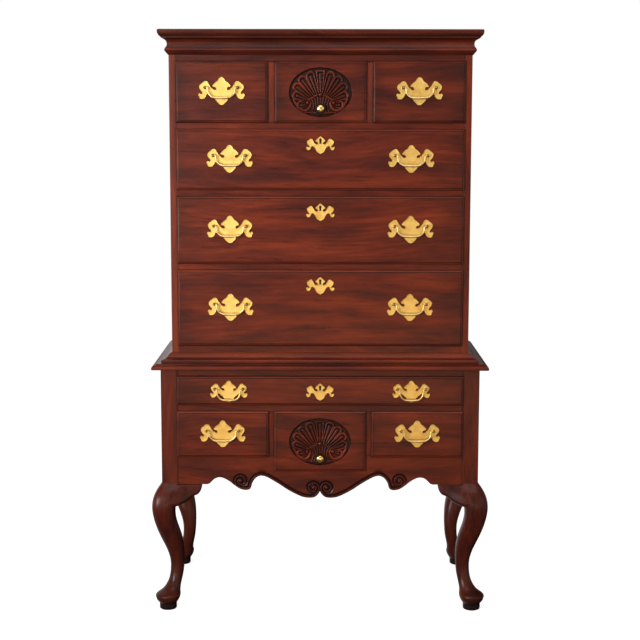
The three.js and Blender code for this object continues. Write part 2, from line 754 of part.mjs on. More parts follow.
function shellDrawer(spec) {
  const x = (spec.across[0] + spec.across[1]) / 2;
  const z = (spec.up[0] + spec.up[1]) / 2 - shellDrop;
  const face = spec.caseFront - seatGap - lipThickness;
  const floor = face + shellSink;
  const oval = new THREE.CylinderGeometry(1, 1, shellSink + cutOverrun, shellOvalSides);
  oval.scale(shellHalfWidth, 1, shellHalfHeight);
  oval.translate(x, floor - (shellSink + cutOverrun) / 2, z);
  const carvedFace = face + carvedShare * shellSink;
  const carvedBack = floor + joinOverlap;
  const [voluteAcross, voluteUp] = shellVoluteShares;
  const volutes = bothSides.map(([, sign]) => disc(
    shellVoluteRadius, carvedFace, carvedBack,
    x + sign * voluteAcross * shellHalfWidth, z + voluteUp * shellHalfHeight, voluteSides,
  ));
  const knobZ = spec.up[0] + knobRise;
  const foot = disc(shellFootRadius, carvedFace, carvedBack, x, knobZ, shellFootSides);
  const kept = new THREE.CylinderGeometry(1, 1, 2 * shellSink + cutOverrun, shellOvalSides);
  kept.scale(shellHalfWidth - shellGround, 1, shellHalfHeight - shellGround).translate(x, floor, z);
  const carving = solidOf(joined(shellFan(x, z, face), ...volutes, foot)).intersect(solidOf(kept));
  return joined(without(drawer(spec), oval), geometryOf(carving));
}

// Brasses

// Half of a pull plate's outline as shares of its half width and half height.
const plateShares = [
  [0, 1], [0.108, 0.919], [0.19, 0.7], [0.386, 0.4], [0.353, 0.27], [0.239, 0.19],
  [0.288, 0.092], [0.369, 0.162], [0.451, 0.297], [0.582, 0.622], [0.663, 0.714],
  [0.761, 0.676], [0.93, 0.43], [0.951, 0.189], [0.827, -0.108], [0.82, -0.189],
  [0.925, -0.151], [1, -0.3], [0.941, -0.514], [0.859, -0.584], [0.745, -0.568],
  [0.663, -0.432], [0.598, -0.216], [0.533, -0.243], [0.451, -0.405], [0.304, -0.568],
  [0.222, -0.757], [0.108, -0.946], [0, -1],
];
const postRiseShare = 0.243;      // posts above the plate's middle, of its half height

// Half of an escutcheon's outline as shares of its half width and half height.
const escutcheonShares = [
  [0, 1], [0.345, 0.526], [0.318, 0.397], [0.2, 0.25], [0.345, 0.138], [0.438, 0.332],
  [0.57, 0.698], [0.703, 0.72], [0.902, 0.504], [0.942, 0.332], [0.756, -0.142],
  [0.968, -0.164], [1, -0.315], [0.942, -0.53], [0.822, -0.595], [0.676, -0.422],
  [0.637, -0.207], [0.544, -0.142], [0.424, -0.272], [0.252, -0.767], [0, -1],
];
const keyRiseShare = 0.58;        // keyhole's round above the middle, of the half height
const lowKeyShare = 0.55;         // how far down a low drawer front an escutcheon sits

// Half of a bail, from the pin's end to the middle: shares of half the post span and of the drop.
const bailShares = [
  [0.865, 0], [0.828, -0.1], [0.824, -0.33], [0.785, -0.56], [0.68, -0.78], [0.47, -0.96],
  [0.22, -1], [0, -1],
];

// A plate with the two posts that carry its bail. Its own zero is the middle of its back.
function pullPlate(size) {
  const outline = bothHalves(plateShares, size.width / 2, size.height / 2);
  const z = postRiseShare * size.height / 2;
  const tip = plateThickness + pinStand + postTip;
  const posts = bothSides.map(([, sign]) => turned(
    [[0, joinOverlap], [postRadius, joinOverlap], [postRadius, tip], [0, tip]],
    sign * size.postSpan / 2, 0, z, postSides,
  ));
  const pinBores = bothSides.map(([, sign]) => {
    const inner = size.postSpan / 2 - postRadius - cutOverrun;
    const outer = size.postSpan / 2 - postRadius + pinDepth + seatGap;
    const boreRadius = pinRadius + pinGap;
    const bore = new THREE.CylinderGeometry(boreRadius, boreRadius, outer - inner, postSides);
    bore.rotateZ(Math.PI / 2);
    return bore.translate(sign * (inner + outer) / 2, -plateThickness - pinStand, z);
  });
  return without(joined(plateOf(outline, -plateThickness, 0), ...posts), ...pinBores);
}

// A bail that hangs from its pins. Its own zero is the middle of the pins' axis.
function bail(size) {
  const halfSpan = size.postSpan / 2;
  const pinEnd = halfSpan - postRadius + pinDepth;
  const curve = bailShares.map(([outShare, dropShare]) => [outShare * halfSpan, dropShare * size.bailDrop]);
  const right = [[pinEnd, 0], ...curve];
  const left = right.slice(0, -1).reverse().map(([x, z]) => [-x, z]);
  const points = [...right, ...left].map(([x, z]) => new THREE.Vector3(x, 0, z));
  const radii = points.map((point) => {
    const depthShare = -point.z / size.bailDrop;
    return pinRadius + (bailMiddleRadius - pinRadius) * depthShare;
  });
  return rod(points, radii, bailSides);
}

function escutcheon() {
  const outline = bothHalves(escutcheonShares, escutcheonWidth / 2, escutcheonHeight / 2);
  const keyZ = keyRiseShare * escutcheonHeight / 2;
  const front = -escutcheonThickness - cutOverrun;
  return without(
    plateOf(outline, -escutcheonThickness, 0),
    disc(keyRadius, front, cutOverrun, 0, keyZ, postSides),
    box(-keySlotWidth / 2, keySlotWidth / 2, front, cutOverrun, keyZ - keySlotLength, keyZ),
  );
}

// Radius as a share of the knob's and reach as a share of its length.
const knobShares = [
  [0.75, 0], [0.75, 0.1], [0.42, 0.2], [0.42, 0.36], [0.85, 0.52], [1, 0.7], [0.8, 0.9],
];
function knob() {
  const profile = knobShares.map(([radiusShare, reachShare]) => (
    [Math.max(radiusShare * knobRadius, knobNeckRadius), reachShare * knobLength]
  ));
  return turned([[0, 0], ...profile, [0, knobLength]], 0, 0, 0, knobSides);
}

// Each drawer with its brasses. A pull is given by its middle, across from the drawer's middle.
function addDrawer(name, spec) {
  const group = new THREE.Group();
  const faceY = spec.caseFront - seatGap - lipThickness;
  const brassY = faceY - seatGap;
  const x = (spec.across[0] + spec.across[1]) / 2;
  const size = spec.plate;
  const z = (spec.up[0] + spec.up[1]) / 2 + size.raised;
  place(group, `drawer_${name}`, spec.shell ? shellDrawer(spec) : drawer(spec), cherry());
  const pulls = spec.shell ? [] : spec.pulls;
  for (const [side, offset] of pulls) {
    const label = side ? `${name}_${side}` : name;
    const pinZ = z + postRiseShare * size.height / 2;
    place(group, `pull_plate_${label}`, pullPlate(size), brass(), [x + offset, brassY, z]);
    place(group, `bail_${label}`, bail(size), brass(), [
      x + offset, brassY - plateThickness - pinStand, pinZ,
    ]);
  }
  if (spec.shell) {
    const at = [x, faceY + carvedShare * shellSink - seatGap, spec.up[0] + knobRise];
    place(group, `knob_${name}`, knob(), brass(), at);
  }
  if (spec.keyed) {
    const keyZ = spec.up[1] - Math.min(escutcheonDrop, lowKeyShare * (spec.up[1] - spec.up[0]));
    place(group, `escutcheon_${name}`, escutcheon(), brass(), [x, brassY, keyZ]);
  }
  highboy.add(group);
}

// The three small drawers of a row, from left to right, by the edges of their fronts.
function rowEdges(width, show) {
  const pitch = width + show;
  return [-pitch, 0, pitch].map((x) => [x - width / 2, x + width / 2]);
}
const [upperLeft, upperMiddle, upperRight] = rowEdges(upperSmallWidth, upperPartitionShow);
const [lowerLeft, lowerMiddle, lowerRight] = rowEdges(lowerSmallWidth, lowerPartitionShow);
const upperCase = { caseFront: upperFrontY, caseBack: upperBackY, plate: largePlate };
const lowerCase = { caseFront: frontY, caseBack: lowerBackY, plate: largePlate };
const single = [['', 0]];
const upperPair = bothSides.map(([side, sign]) => [side, sign * (upperSpan / 2 - upperPullInset)]);
const lowerPair = bothSides.map(([side, sign]) => [side, sign * (lowerSpan / 2 - lowerPullInset)]);
const upperLong = { ...upperCase, across: [-upperSpan / 2, upperSpan / 2], pulls: upperPair, keyed: true };

const upperRow = [upperSmallFoot, upperSmallHead];
addDrawer('top_left', { ...upperCase, across: upperLeft, up: upperRow, pulls: single });
addDrawer('top_shell', { ...upperCase, across: upperMiddle, up: upperRow, shell: true });
addDrawer('top_right', { ...upperCase, across: upperRight, up: upperRow, pulls: single });
addDrawer('long_1', { ...upperLong, up: [topLongFoot, topLongHead] });
addDrawer('long_2', { ...upperLong, up: [middleLongFoot, middleLongHead] });
addDrawer('long_3', { ...upperLong, up: [bottomLongFoot, bottomLongHead] });

const lowerRow = [lowerSmallFoot, lowerSmallHead];
addDrawer('waist', {
  ...lowerCase, across: [-lowerSpan / 2, lowerSpan / 2], up: [lowerLongFoot, lowerLongHead],
  pulls: lowerPair, keyed: true, plate: smallPlate,
});
addDrawer('low_left', { ...lowerCase, across: lowerLeft, up: lowerRow, pulls: single });
addDrawer('low_shell', {
  ...lowerCase, across: lowerMiddle, up: [shellDrawerFoot, lowerSmallHead], shell: true,
});
addDrawer('low_right', { ...lowerCase, across: lowerRight, up: lowerRow, pulls: single });

export default highboy;
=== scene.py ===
# A flat-top highboy: cherry cases, cabriole legs, carved shells, a scrolled apron and willow brasses.
# Metres, +Z up. The front faces -Y and X runs to the right.
import json
import math
import bmesh
import bpy
import numpy as np
from mathutils import Matrix, Vector
from mathutils.geometry import delaunay_2d_cdt

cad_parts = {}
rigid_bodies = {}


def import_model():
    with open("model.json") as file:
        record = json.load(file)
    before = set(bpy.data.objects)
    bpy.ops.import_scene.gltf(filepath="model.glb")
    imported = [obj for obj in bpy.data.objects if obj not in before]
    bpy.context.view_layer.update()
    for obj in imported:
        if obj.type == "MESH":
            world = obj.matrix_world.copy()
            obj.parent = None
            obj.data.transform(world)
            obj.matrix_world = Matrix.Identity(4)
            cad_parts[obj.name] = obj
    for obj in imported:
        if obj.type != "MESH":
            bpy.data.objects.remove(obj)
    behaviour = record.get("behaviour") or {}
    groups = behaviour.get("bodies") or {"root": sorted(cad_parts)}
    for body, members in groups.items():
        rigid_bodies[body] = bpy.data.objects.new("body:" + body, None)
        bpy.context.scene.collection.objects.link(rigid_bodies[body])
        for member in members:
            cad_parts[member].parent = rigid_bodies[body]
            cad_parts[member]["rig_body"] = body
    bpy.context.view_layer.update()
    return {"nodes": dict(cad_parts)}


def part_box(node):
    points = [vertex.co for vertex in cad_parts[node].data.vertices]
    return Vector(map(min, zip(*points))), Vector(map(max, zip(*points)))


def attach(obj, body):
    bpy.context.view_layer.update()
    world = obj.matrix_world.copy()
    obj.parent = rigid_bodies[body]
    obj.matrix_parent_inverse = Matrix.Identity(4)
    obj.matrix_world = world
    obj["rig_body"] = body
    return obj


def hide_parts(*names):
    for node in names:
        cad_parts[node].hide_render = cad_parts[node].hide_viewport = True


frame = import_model()
mm = 0.001
bothSides = (("left", -1), ("right", 1))
glueGap = 0.3 * mm          # the CAD's gap between glued boards, closed here
lipOver = 3 * mm            # how far a drawer's lip covers the case
panelSetBack = 1.5 * mm     # the lower side panels behind the faces of their posts
print("frame loaded:", len(frame["nodes"]), "nodes")


# Node trees

def newFinish(name):
    finish = bpy.data.materials.new(name)
    finish.use_nodes = True
    tree = finish.node_tree
    tree.nodes.clear()
    output = tree.nodes.new("ShaderNodeOutputMaterial")
    shader = tree.nodes.new("ShaderNodeBsdfPrincipled")
    tree.links.new(shader.outputs["BSDF"], output.inputs["Surface"])
    return finish, tree, shader


def put(tree, value, socket):
    if isinstance(value, bpy.types.NodeSocket):
        tree.links.new(value, socket)
    else:
        socket.default_value = value


def maths(tree, operation, first, second=0.0, clamp=False):
    made = tree.nodes.new("ShaderNodeMath")
    made.operation = operation
    made.use_clamp = clamp
    put(tree, first, made.inputs[0])
    put(tree, second, made.inputs[1])
    return made.outputs[0]


def vectors(tree, operation, first, second=(0, 0, 0)):
    made = tree.nodes.new("ShaderNodeVectorMath")
    made.operation = operation
    put(tree, first, made.inputs[0])
    put(tree, second, made.inputs[1])
    return made.outputs[0]


def noise(tree, place, stretch, detail=2.0, roughness=0.5, distortion=0.0):
    made = tree.nodes.new("ShaderNodeTexNoise")
    put(tree, vectors(tree, "MULTIPLY", place, stretch), made.inputs["Vector"])
    made.inputs["Scale"].default_value = 1.0
    made.inputs["Detail"].default_value = detail
    made.inputs["Roughness"].default_value = roughness
    made.inputs["Distortion"].default_value = distortion
    return made


def spread(tree, value, fromLow, fromHigh, toLow, toHigh):
    made = tree.nodes.new("ShaderNodeMapRange")
    put(tree, value, made.inputs["Value"])
    made.inputs["From Min"].default_value = fromLow
    made.inputs["From Max"].default_value = fromHigh
    made.inputs["To Min"].default_value = toLow
    made.inputs["To Max"].default_value = toHigh
    return made.outputs["Result"]


def mixed(tree, kind, amount, first, second):
    made = tree.nodes.new("ShaderNodeMix")
    made.data_type = "RGBA"
    made.blend_type = kind
    put(tree, amount, made.inputs[0])
    put(tree, first, made.inputs[6])
    put(tree, second, made.inputs[7])
    return made.outputs[2]


def colourRamp(tree, value, stops):
    made = tree.nodes.new("ShaderNodeValToRGB")
    put(tree, value, made.inputs["Fac"])
    ramp = made.color_ramp
    while len(ramp.elements) < len(stops):
        ramp.elements.new(0.5)
    for element, (position, colour) in zip(ramp.elements, stops):
        element.position = position
        element.color = (*colour, 1)
    return made.outputs["Color"]


def told(tree, name, kind="OBJECT"):
    made = tree.nodes.new("ShaderNodeAttribute")
    made.attribute_type = kind
    made.attribute_name = name
    return made


# Wood. The grain runs along one axis of the piece, and each piece has its own stretch of it.

cherryLook = {
    "dark": (0.073, 0.0095, 0.0043),
    "middle": (0.134, 0.0160, 0.0050),
    "light": (0.210, 0.0270, 0.0065),
    # the dark colour that painted shade and the darker tone of some pieces mix towards
    "glaze": (0.0150, 0.0052, 0.0036),
    # the colour that painted highlights mix towards
    "rubbingAndHighlight": (0.330, 0.0700, 0.0280),
    "figure": (3.2, 22.0, 22.0),
    "streaks": (0.76, 1.23),
    "pores": (0.86, 1.0),
    "roughness": (0.26, 0.36),
    "specular": 0.20,
    "lacquer": 0.05,
    "lacquerRoughness": 0.24,
    "bump": 0.07,
}
innerLook = {
    "dark": (0.330, 0.192, 0.095),
    "middle": (0.370, 0.220, 0.110),
    "light": (0.412, 0.252, 0.130),
    # the dark colour that painted shade and a darker tone would mix towards
    "glaze": (0.150, 0.085, 0.040),
    # the colour that painted highlights would mix towards
    "rubbingAndHighlight": (0.600, 0.400, 0.220),
    "figure": (1.2, 48.0, 48.0),
    "streaks": (0.86, 1.08),
    "pores": (0.86, 1.0),
    "roughness": (0.58, 0.72),
    "specular": 0.30,
    "lacquer": 0.0,
    "lacquerRoughness": 0.4,
    "bump": 0.16,
}


# what both woods have in common
grainLook = {
    # figure per metre, along the grain and across it
    "bends": (2.0, 3.0, 3.0),
    "bendReach": (0.0, 0.10, 0.10),
    "lines": (4.2, 115.0, 115.0),
    "fibres": (26.0, 1150.0, 1150.0),
    "clouds": (9.0, 26.0, 26.0),        # makes the edge of the painted shade ragged
    "raggedness": 1.6,
    "edgeDarkPower": 1.4,
    "toneStops": (0.35, 0.50, 0.66),    # of the figure, for dark, middle and light wood
    "dents": (38.0, 38.0, 38.0),        # unevenness of a rubbed finish
    "dentShare": 0.35,
    "bumpReach": 0.6 * mm,
}


def woodFinish(name, look, grain):
    finish, tree, shader = newFinish(name)
    spot = tree.nodes.new("ShaderNodeTexCoord").outputs["Object"]
    apart = tree.nodes.new("ShaderNodeSeparateXYZ")
    put(tree, vectors(tree, "ADD", spot, told(tree, "grainShift").outputs["Vector"]), apart.inputs[0])
    order = {"x": (0, 1, 2), "y": (1, 0, 2), "z": (2, 0, 1)}[grain]
    along = tree.nodes.new("ShaderNodeCombineXYZ")
    for axis, source in enumerate(order):
        put(tree, apart.outputs[source], along.inputs[axis])

    wave = noise(tree, along.outputs[0], grainLook["bends"], 1.0)
    bend = vectors(tree, "SUBTRACT", wave.outputs[1], (0.5, 0.5, 0.5))
    bend = vectors(tree, "MULTIPLY", bend, grainLook["bendReach"])
    bent = vectors(tree, "ADD", along.outputs[0], bend)
    figure = noise(tree, bent, look["figure"], 4.0, 0.62, 0.12)
    lines = noise(tree, bent, grainLook["lines"], 4.0, 0.62)
    fibres = noise(tree, bent, grainLook["fibres"], 2.0, 0.6)

    tones = (look["dark"], look["middle"], look["light"])
    tone = colourRamp(tree, figure.outputs[0], tuple(zip(grainLook["toneStops"], tones)))
    streak = spread(tree, lines.outputs[0], 0.30, 0.70, *look["streaks"])
    pore = spread(tree, fibres.outputs[0], 0.34, 0.52, *look["pores"])
    shade = maths(tree, "MULTIPLY", streak, pore)
    grey = tree.nodes.new("ShaderNodeCombineColor")
    for socket in grey.inputs:
        put(tree, shade, socket)
    wooden = mixed(tree, "MULTIPLY", 1.0, tone, grey.outputs[0])

    # how far it is to the board's ends and to its long edges
    offset = vectors(tree, "SUBTRACT", spot, told(tree, "boardMiddle").outputs["Vector"])
    offset = vectors(tree, "ABSOLUTE", offset)
    left = tree.nodes.new("ShaderNodeSeparateXYZ")
    put(tree, vectors(tree, "SUBTRACT", told(tree, "boardReach").outputs["Vector"], offset), left.inputs[0])
    toEnd = left.outputs[order[0]]
    toSide = maths(tree, "MAXIMUM", left.outputs[order[1]], left.outputs[order[2]])
    widths = tree.nodes.new("ShaderNodeSeparateXYZ")    # for the ends and for the sides, and how strong
    put(tree, told(tree, "edges").outputs["Vector"], widths.inputs[0])
    cloudy = noise(tree, along.outputs[0], grainLook["clouds"], 3.0)
    ragged = maths(tree, "MULTIPLY", maths(tree, "SUBTRACT", cloudy.outputs[0], 0.5), grainLook["raggedness"])
    # painted shade along a board's edges beside gaps, and darker towards a drawer front's ends
    edges = []
    for distance, width in ((toEnd, widths.outputs[0]), (toSide, widths.outputs[1])):
        share = maths(tree, "ADD", maths(tree, "DIVIDE", distance, width), ragged)
        near = maths(tree, "SUBTRACT", 1.0, share, clamp=True)
        edges.append(maths(tree, "POWER", near, grainLook["edgeDarkPower"]))
    edge = maths(tree, "MULTIPLY", maths(tree, "MAXIMUM", *edges), widths.outputs[2])
    # per point: painted shade in hollows, coves and gaps (below zero, a painted highlight), and a darker tone
    # low on the legs
    pointShadeAndTint = told(tree, "glaze", "GEOMETRY").outputs["Fac"]
    # per piece: painted shade (below zero, painted light) on some pieces, a darker tone on others
    darker = told(tree, "darker").outputs["Fac"]
    laid = maths(tree, "ADD", pointShadeAndTint, darker)
    shadedShare = maths(tree, "ADD", edge, laid, clamp=True)
    # painted highlight where the darkness is below zero
    rubbingAndHighlight = maths(tree, "MULTIPLY", laid, -1.0, clamp=True)
    colour = mixed(tree, "MIX", rubbingAndHighlight, wooden, (*look["rubbingAndHighlight"], 1))
    # mix in the painted shade and the darker tone
    colour = mixed(tree, "MIX", shadedShare, colour, (*look["glaze"], 1))

    rough = spread(tree, lines.outputs[0], 0.3, 0.7, *look["roughness"])
    dents = noise(tree, spot, grainLook["dents"], 3.0, 0.5)
    relief = maths(tree, "ADD", pore, maths(tree, "MULTIPLY", dents.outputs[0], grainLook["dentShare"]))
    bump = tree.nodes.new("ShaderNodeBump")
    bump.inputs["Strength"].default_value = look["bump"]
    bump.inputs["Distance"].default_value = grainLook["bumpReach"]
    put(tree, relief, bump.inputs["Height"])
    put(tree, colour, shader.inputs["Base Color"])
    put(tree, rough, shader.inputs["Roughness"])
    put(tree, bump.outputs[0], shader.inputs["Normal"])
    shader.inputs["Specular IOR Level"].default_value = look["specular"]
    shader.inputs["Coat Weight"].default_value = look["lacquer"]
    shader.inputs["Coat Roughness"].default_value = look["lacquerRoughness"]
    return finish


brassLook = {
    # the plates, the bails and the knobs
    "castBrass": {"deep": (0.83, 0.49, 0.118), "bright": (0.98, 0.645, 0.182), "roughness": (0.38, 0.50)},
    # the bails: paler than the plates' brass, a painted highlight so they read brighter
    "drawnBrass": {"deep": (0.95, 0.640, 0.220), "bright": (1.0, 0.760, 0.330), "roughness": (0.36, 0.44)},
    "turnedBrass": {"deep": (0.88, 0.540, 0.150), "bright": (1.0, 0.690, 0.220), "roughness": (0.16, 0.24)},
    # the colour of painted shade on the brasses, and of tarnish on the plates' backs
    "shadeAndTarnish": (0.100, 0.044, 0.014),
    "clouds": (42.0, 42.0, 42.0),
    "rubbing": (900.0, 900.0, 110.0),   # fine marks left by the polishing cloth
    "bump": 0.05,
    "bumpReach": 0.3 * mm,
}
# the lock's iron face behind a keyhole, coloured near black as painted shade inside the keyhole
ironAndShadeLook = {
    "dark": (0.002, 0.002, 0.002),
    "pale": (0.008, 0.007, 0.006),
    "scale": (160.0, 160.0, 160.0),
    "roughness": (0.45, 0.65),
    "specular": 0.2,
}


def brassFinish(name):
    look = brassLook[name]
    finish, tree, shader = newFinish(name)
    spot = tree.nodes.new("ShaderNodeTexCoord").outputs["Object"]
    moved = vectors(tree, "ADD", spot, told(tree, "grainShift").outputs["Vector"])
    cloud = noise(tree, moved, brassLook["clouds"], 4.0, 0.6)
    rubbingAndHighlight = noise(tree, moved, brassLook["rubbing"], 2.0, 0.6)
    colour = mixed(
        tree, "MIX", spread(tree, cloud.outputs[0], 0.32, 0.56, 0.0, 1.0),
        (*look["deep"], 1), (*look["bright"], 1),
    )
    # per point: painted shade, and tarnish on a plate's back
    shadeAndTarnish = told(tree, "glaze", "GEOMETRY").outputs["Fac"]
    colour = mixed(tree, "MIX", shadeAndTarnish, colour, (*brassLook["shadeAndTarnish"], 1))
    put(tree, colour, shader.inputs["Base Color"])
    rough = spread(tree, rubbingAndHighlight.outputs[0], 0.3, 0.7, *look["roughness"])
    put(tree, rough, shader.inputs["Roughness"])
    shader.inputs["Metallic"].default_value = 1.0
    bump = tree.nodes.new("ShaderNodeBump")
    bump.inputs["Strength"].default_value = brassLook["bump"]
    bump.inputs["Distance"].default_value = brassLook["bumpReach"]
    put(tree, rubbingAndHighlight.outputs[0], bump.inputs["Height"])
    put(tree, bump.outputs[0], shader.inputs["Normal"])
    return finish


def ironAndShadeFinish():
    finish, tree, shader = newFinish("blackIron")
    spot = tree.nodes.new("ShaderNodeTexCoord").outputs["Object"]
    scale = noise(tree, spot, ironAndShadeLook["scale"], 4.0, 0.6)
    colour = mixed(
        tree, "MIX", spread(tree, scale.outputs[0], 0.35, 0.65, 0.0, 1.0),
        (*ironAndShadeLook["dark"], 1), (*ironAndShadeLook["pale"], 1),
    )
    put(tree, colour, shader.inputs["Base Color"])
    shader.inputs["Specular IOR Level"].default_value = ironAndShadeLook["specular"]
    rough = spread(tree, scale.outputs[0], 0.3, 0.7, *ironAndShadeLook["roughness"])
    put(tree, rough, shader.inputs["Roughness"])
    return finish


cherry = {grain: woodFinish("cherry" + grain.upper(), cherryLook, grain) for grain in "xyz"}
innerWood = {grain: woodFinish("innerWood" + grain.upper(), innerLook, grain) for grain in "xyz"}
brass = brassFinish("castBrass")
bailBrass = brassFinish("drawnBrass")
knobBrass = brassFinish("turnedBrass")
ironAndShade = ironAndShadeFinish()
print("finishes made")


# Shapes. A shape is a pair: its points and its faces.

def together(*shapes):
    points, faces, start = [], [], 0
    for shapePoints, shapeFaces in shapes:
        points.append(np.asarray(shapePoints, float))
        faces += [[start + int(i) for i in face] for face in shapeFaces]
        start += len(shapePoints)
    return np.vstack(points), faces


def loft(rings, caps=True):
    rings = np.asarray(rings, float)
    count, around = rings.shape[:2]
    rows = np.arange(count - 1)[:, None] * around
    here = np.arange(around)[None, :]
    after = (here + 1) % around
    quads = np.stack([rows + here, rows + after, rows + around + after, rows + around + here], -1)
    faces = quads.reshape(-1, 4).tolist()
    if caps:
        faces += [list(range(around)), list(range((count - 1) * around, count * around))]
    return rings.reshape(-1, 3), faces


def board(low, high, soften=0.8 * mm):
    low, high = np.minimum(low, high), np.maximum(low, high)
    shape = bmesh.new()
    bmesh.ops.create_cube(shape, size=1.0)
    for vertex in shape.verts:
        vertex.co = Vector((low + high) / 2 + np.array(vertex.co) * (high - low))
    bmesh.ops.bevel(shape, geom=shape.edges[:], offset=soften, segments=2, profile=0.5, affect="EDGES")
    shape.verts.index_update()
    points = np.array([vertex.co for vertex in shape.verts])
    faces = [[vertex.index for vertex in face.verts] for face in shape.faces]
    shape.free()
    return points, faces


def curveThrough(points, steps, closed=False):
    points = np.asarray(points, float)
    if closed:
        padded = np.vstack([points[-1:], points, points[:2]])
    else:
        padded = np.vstack([2 * points[0] - points[1], points, 2 * points[-1] - points[-2]])
    pieces = []
    for i in range(len(padded) - 3):
        p = padded[i:i + 4]
        gaps = np.maximum(np.sqrt(np.linalg.norm(np.diff(p, axis=0), axis=1)), 1e-9)
        k = np.concatenate([[0.0], np.cumsum(gaps)])
        t = np.linspace(k[1], k[2], steps, endpoint=False)[:, None]
        a = [((k[j + 1] - t) * p[j] + (t - k[j]) * p[j + 1]) / (k[j + 1] - k[j]) for j in range(3)]
        b = [((k[j + 2] - t) * a[j] + (t - k[j]) * a[j + 1]) / (k[j + 2] - k[j]) for j in range(2)]
        pieces.append(((k[2] - t) * b[0] + (t - k[1]) * b[1]) / (k[2] - k[1]))
    if not closed:
        pieces.append(points[-1:])
    return np.vstack(pieces)


def distanceTo(spots, path, closed=False):
    starts = path if closed else path[:-1]
    ends = np.roll(path, -1, axis=0) if closed else path[1:]
    best = np.full(len(spots), 1e9)
    place = np.zeros(len(spots))
    for i, (start, end) in enumerate(zip(starts, ends)):
        along = end - start
        share = np.clip((spots - start) @ along / max(along @ along, 1e-12), 0, 1)
        away = np.hypot(*(spots - start - share[:, None] * along).T)
        closer = away < best
        best[closer] = away[closer]
        place[closer] = (i + share[closer]) / len(starts)
    return best, place


def gridOf(across, up):
    gridX, gridZ = np.meshgrid(across, up)
    return np.stack([gridX.ravel(), gridZ.ravel()], -1)


def isInside(spots, outline):
    inside = np.zeros(len(spots), bool)
    for start, end in zip(outline, np.roll(outline, -1, axis=0)):
        crosses = (start[1] > spots[:, 1]) != (end[1] > spots[:, 1])
        rise = end[1] - start[1] if end[1] != start[1] else 1e-12
        x = start[0] + (spots[:, 1] - start[1]) * (end[0] - start[0]) / rise
        inside ^= crosses & (spots[:, 0] < x)
    return inside


def smoothStep(value):
    value = np.clip(value, 0, 1)
    return value * value * (3 - 2 * value)


# darkening at a board's ends and sides, painted shade along gaps and joints and a darker band at a drawer
# front's ends: how far in it reaches from each, and how strong it is
noEdges = (1.0 * mm, 1.0 * mm, 0.0)
longFrontEdges = (110 * mm, 9 * mm, 0.44)
smallFrontEdges = (58 * mm, 9 * mm, 0.40)
# painted shade along the edges beside gaps and drawer lips
jointEdges = (3.4 * mm, 3.4 * mm, 0.75)


def grainShift(name):
    seed = sum((i + 1) * ord(letter) for i, letter in enumerate(name))
    return [seed * 0.618 % 9.0, seed * 0.414 % 9.0, seed * 0.732 % 9.0]


def tellShader(piece, edges, darker):
    spots = np.array([vertex.co for vertex in piece.data.vertices])
    low, high = spots.min(0), spots.max(0)
    piece["boardMiddle"] = ((low + high) / 2).tolist()
    piece["boardReach"] = ((high - low) / 2).tolist()
    piece["edges"] = list(edges)
    piece["grainShift"] = grainShift(piece.name)
    piece["darker"] = float(darker)


# where two faces meet at more than so many degrees, the shading shows an edge
boardCrease = 34
mouldingCrease = 24
frontCrease = 30
carvingCrease = 40
legCrease = 60
plateCrease = 26
bailCrease = 50
knobCrease = 40


def makeMesh(name, shape, finish, crease=boardCrease, glaze=None):
    points, faces = shape
    mesh = bpy.data.meshes.new(name)
    mesh.from_pydata(np.asarray(points).tolist(), [], faces)
    # per point: painted shade (below zero, a painted highlight), a darker tone low on the legs, and tarnish
    # on the brasses' backs
    if glaze is not None:
        layer = mesh.attributes.new("glaze", "FLOAT", "POINT")
        layer.data.foreach_set("value", np.asarray(glaze, np.float32))
    work = bmesh.new()
    work.from_mesh(mesh)
    bmesh.ops.recalc_face_normals(work, faces=work.faces)
    work.to_mesh(mesh)
    work.free()
    mesh.polygons.foreach_set("use_smooth", [True] * len(mesh.polygons))
    mesh.set_sharp_from_angle(angle=math.radians(crease))
    mesh.materials.append(finish)
    return mesh


def placePiece(name, mesh, body, stands=(), at=(0, 0, 0), edges=noEdges, darker=0.0):
    piece = bpy.data.objects.new(name, mesh)
    piece.location = at
    bpy.context.scene.collection.objects.link(piece)
    tellShader(piece, edges, darker)
    piece.modifiers.new("evenShading", "WEIGHTED_NORMAL").keep_sharp = True
    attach(piece, body)
    if stands:
        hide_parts(*stands)
    return piece


def makePiece(
    name, shape, finish, body, stands=(), crease=boardCrease, glaze=None, edges=noEdges, darker=0.0,
):
    mesh = makeMesh(name, shape, finish, crease, glaze)
    return placePiece(name, mesh, body, stands, edges=edges, darker=darker)


# Mouldings, mitred at the corners of the upper case

mouldingGrain = (("front", "x"), ("left", "y"), ("right", "y"))


def mitredRuns(rows, halfWidth, front, back, foot):
    out, up = rows[:, 0] * mm + glueGap, rows[:, 1] * mm + foot
    across = halfWidth + out
    left = np.stack([-across, front - out, up], -1)
    right = np.stack([across, front - out, up], -1)
    runs = {"front": loft([left, right])}
    for side, sign in bothSides:
        corner = np.stack([sign * across, front - out, up], -1)
        end = np.stack([sign * across, np.full(len(out), back), up], -1)
        runs[side] = loft([corner, end])
    return runs


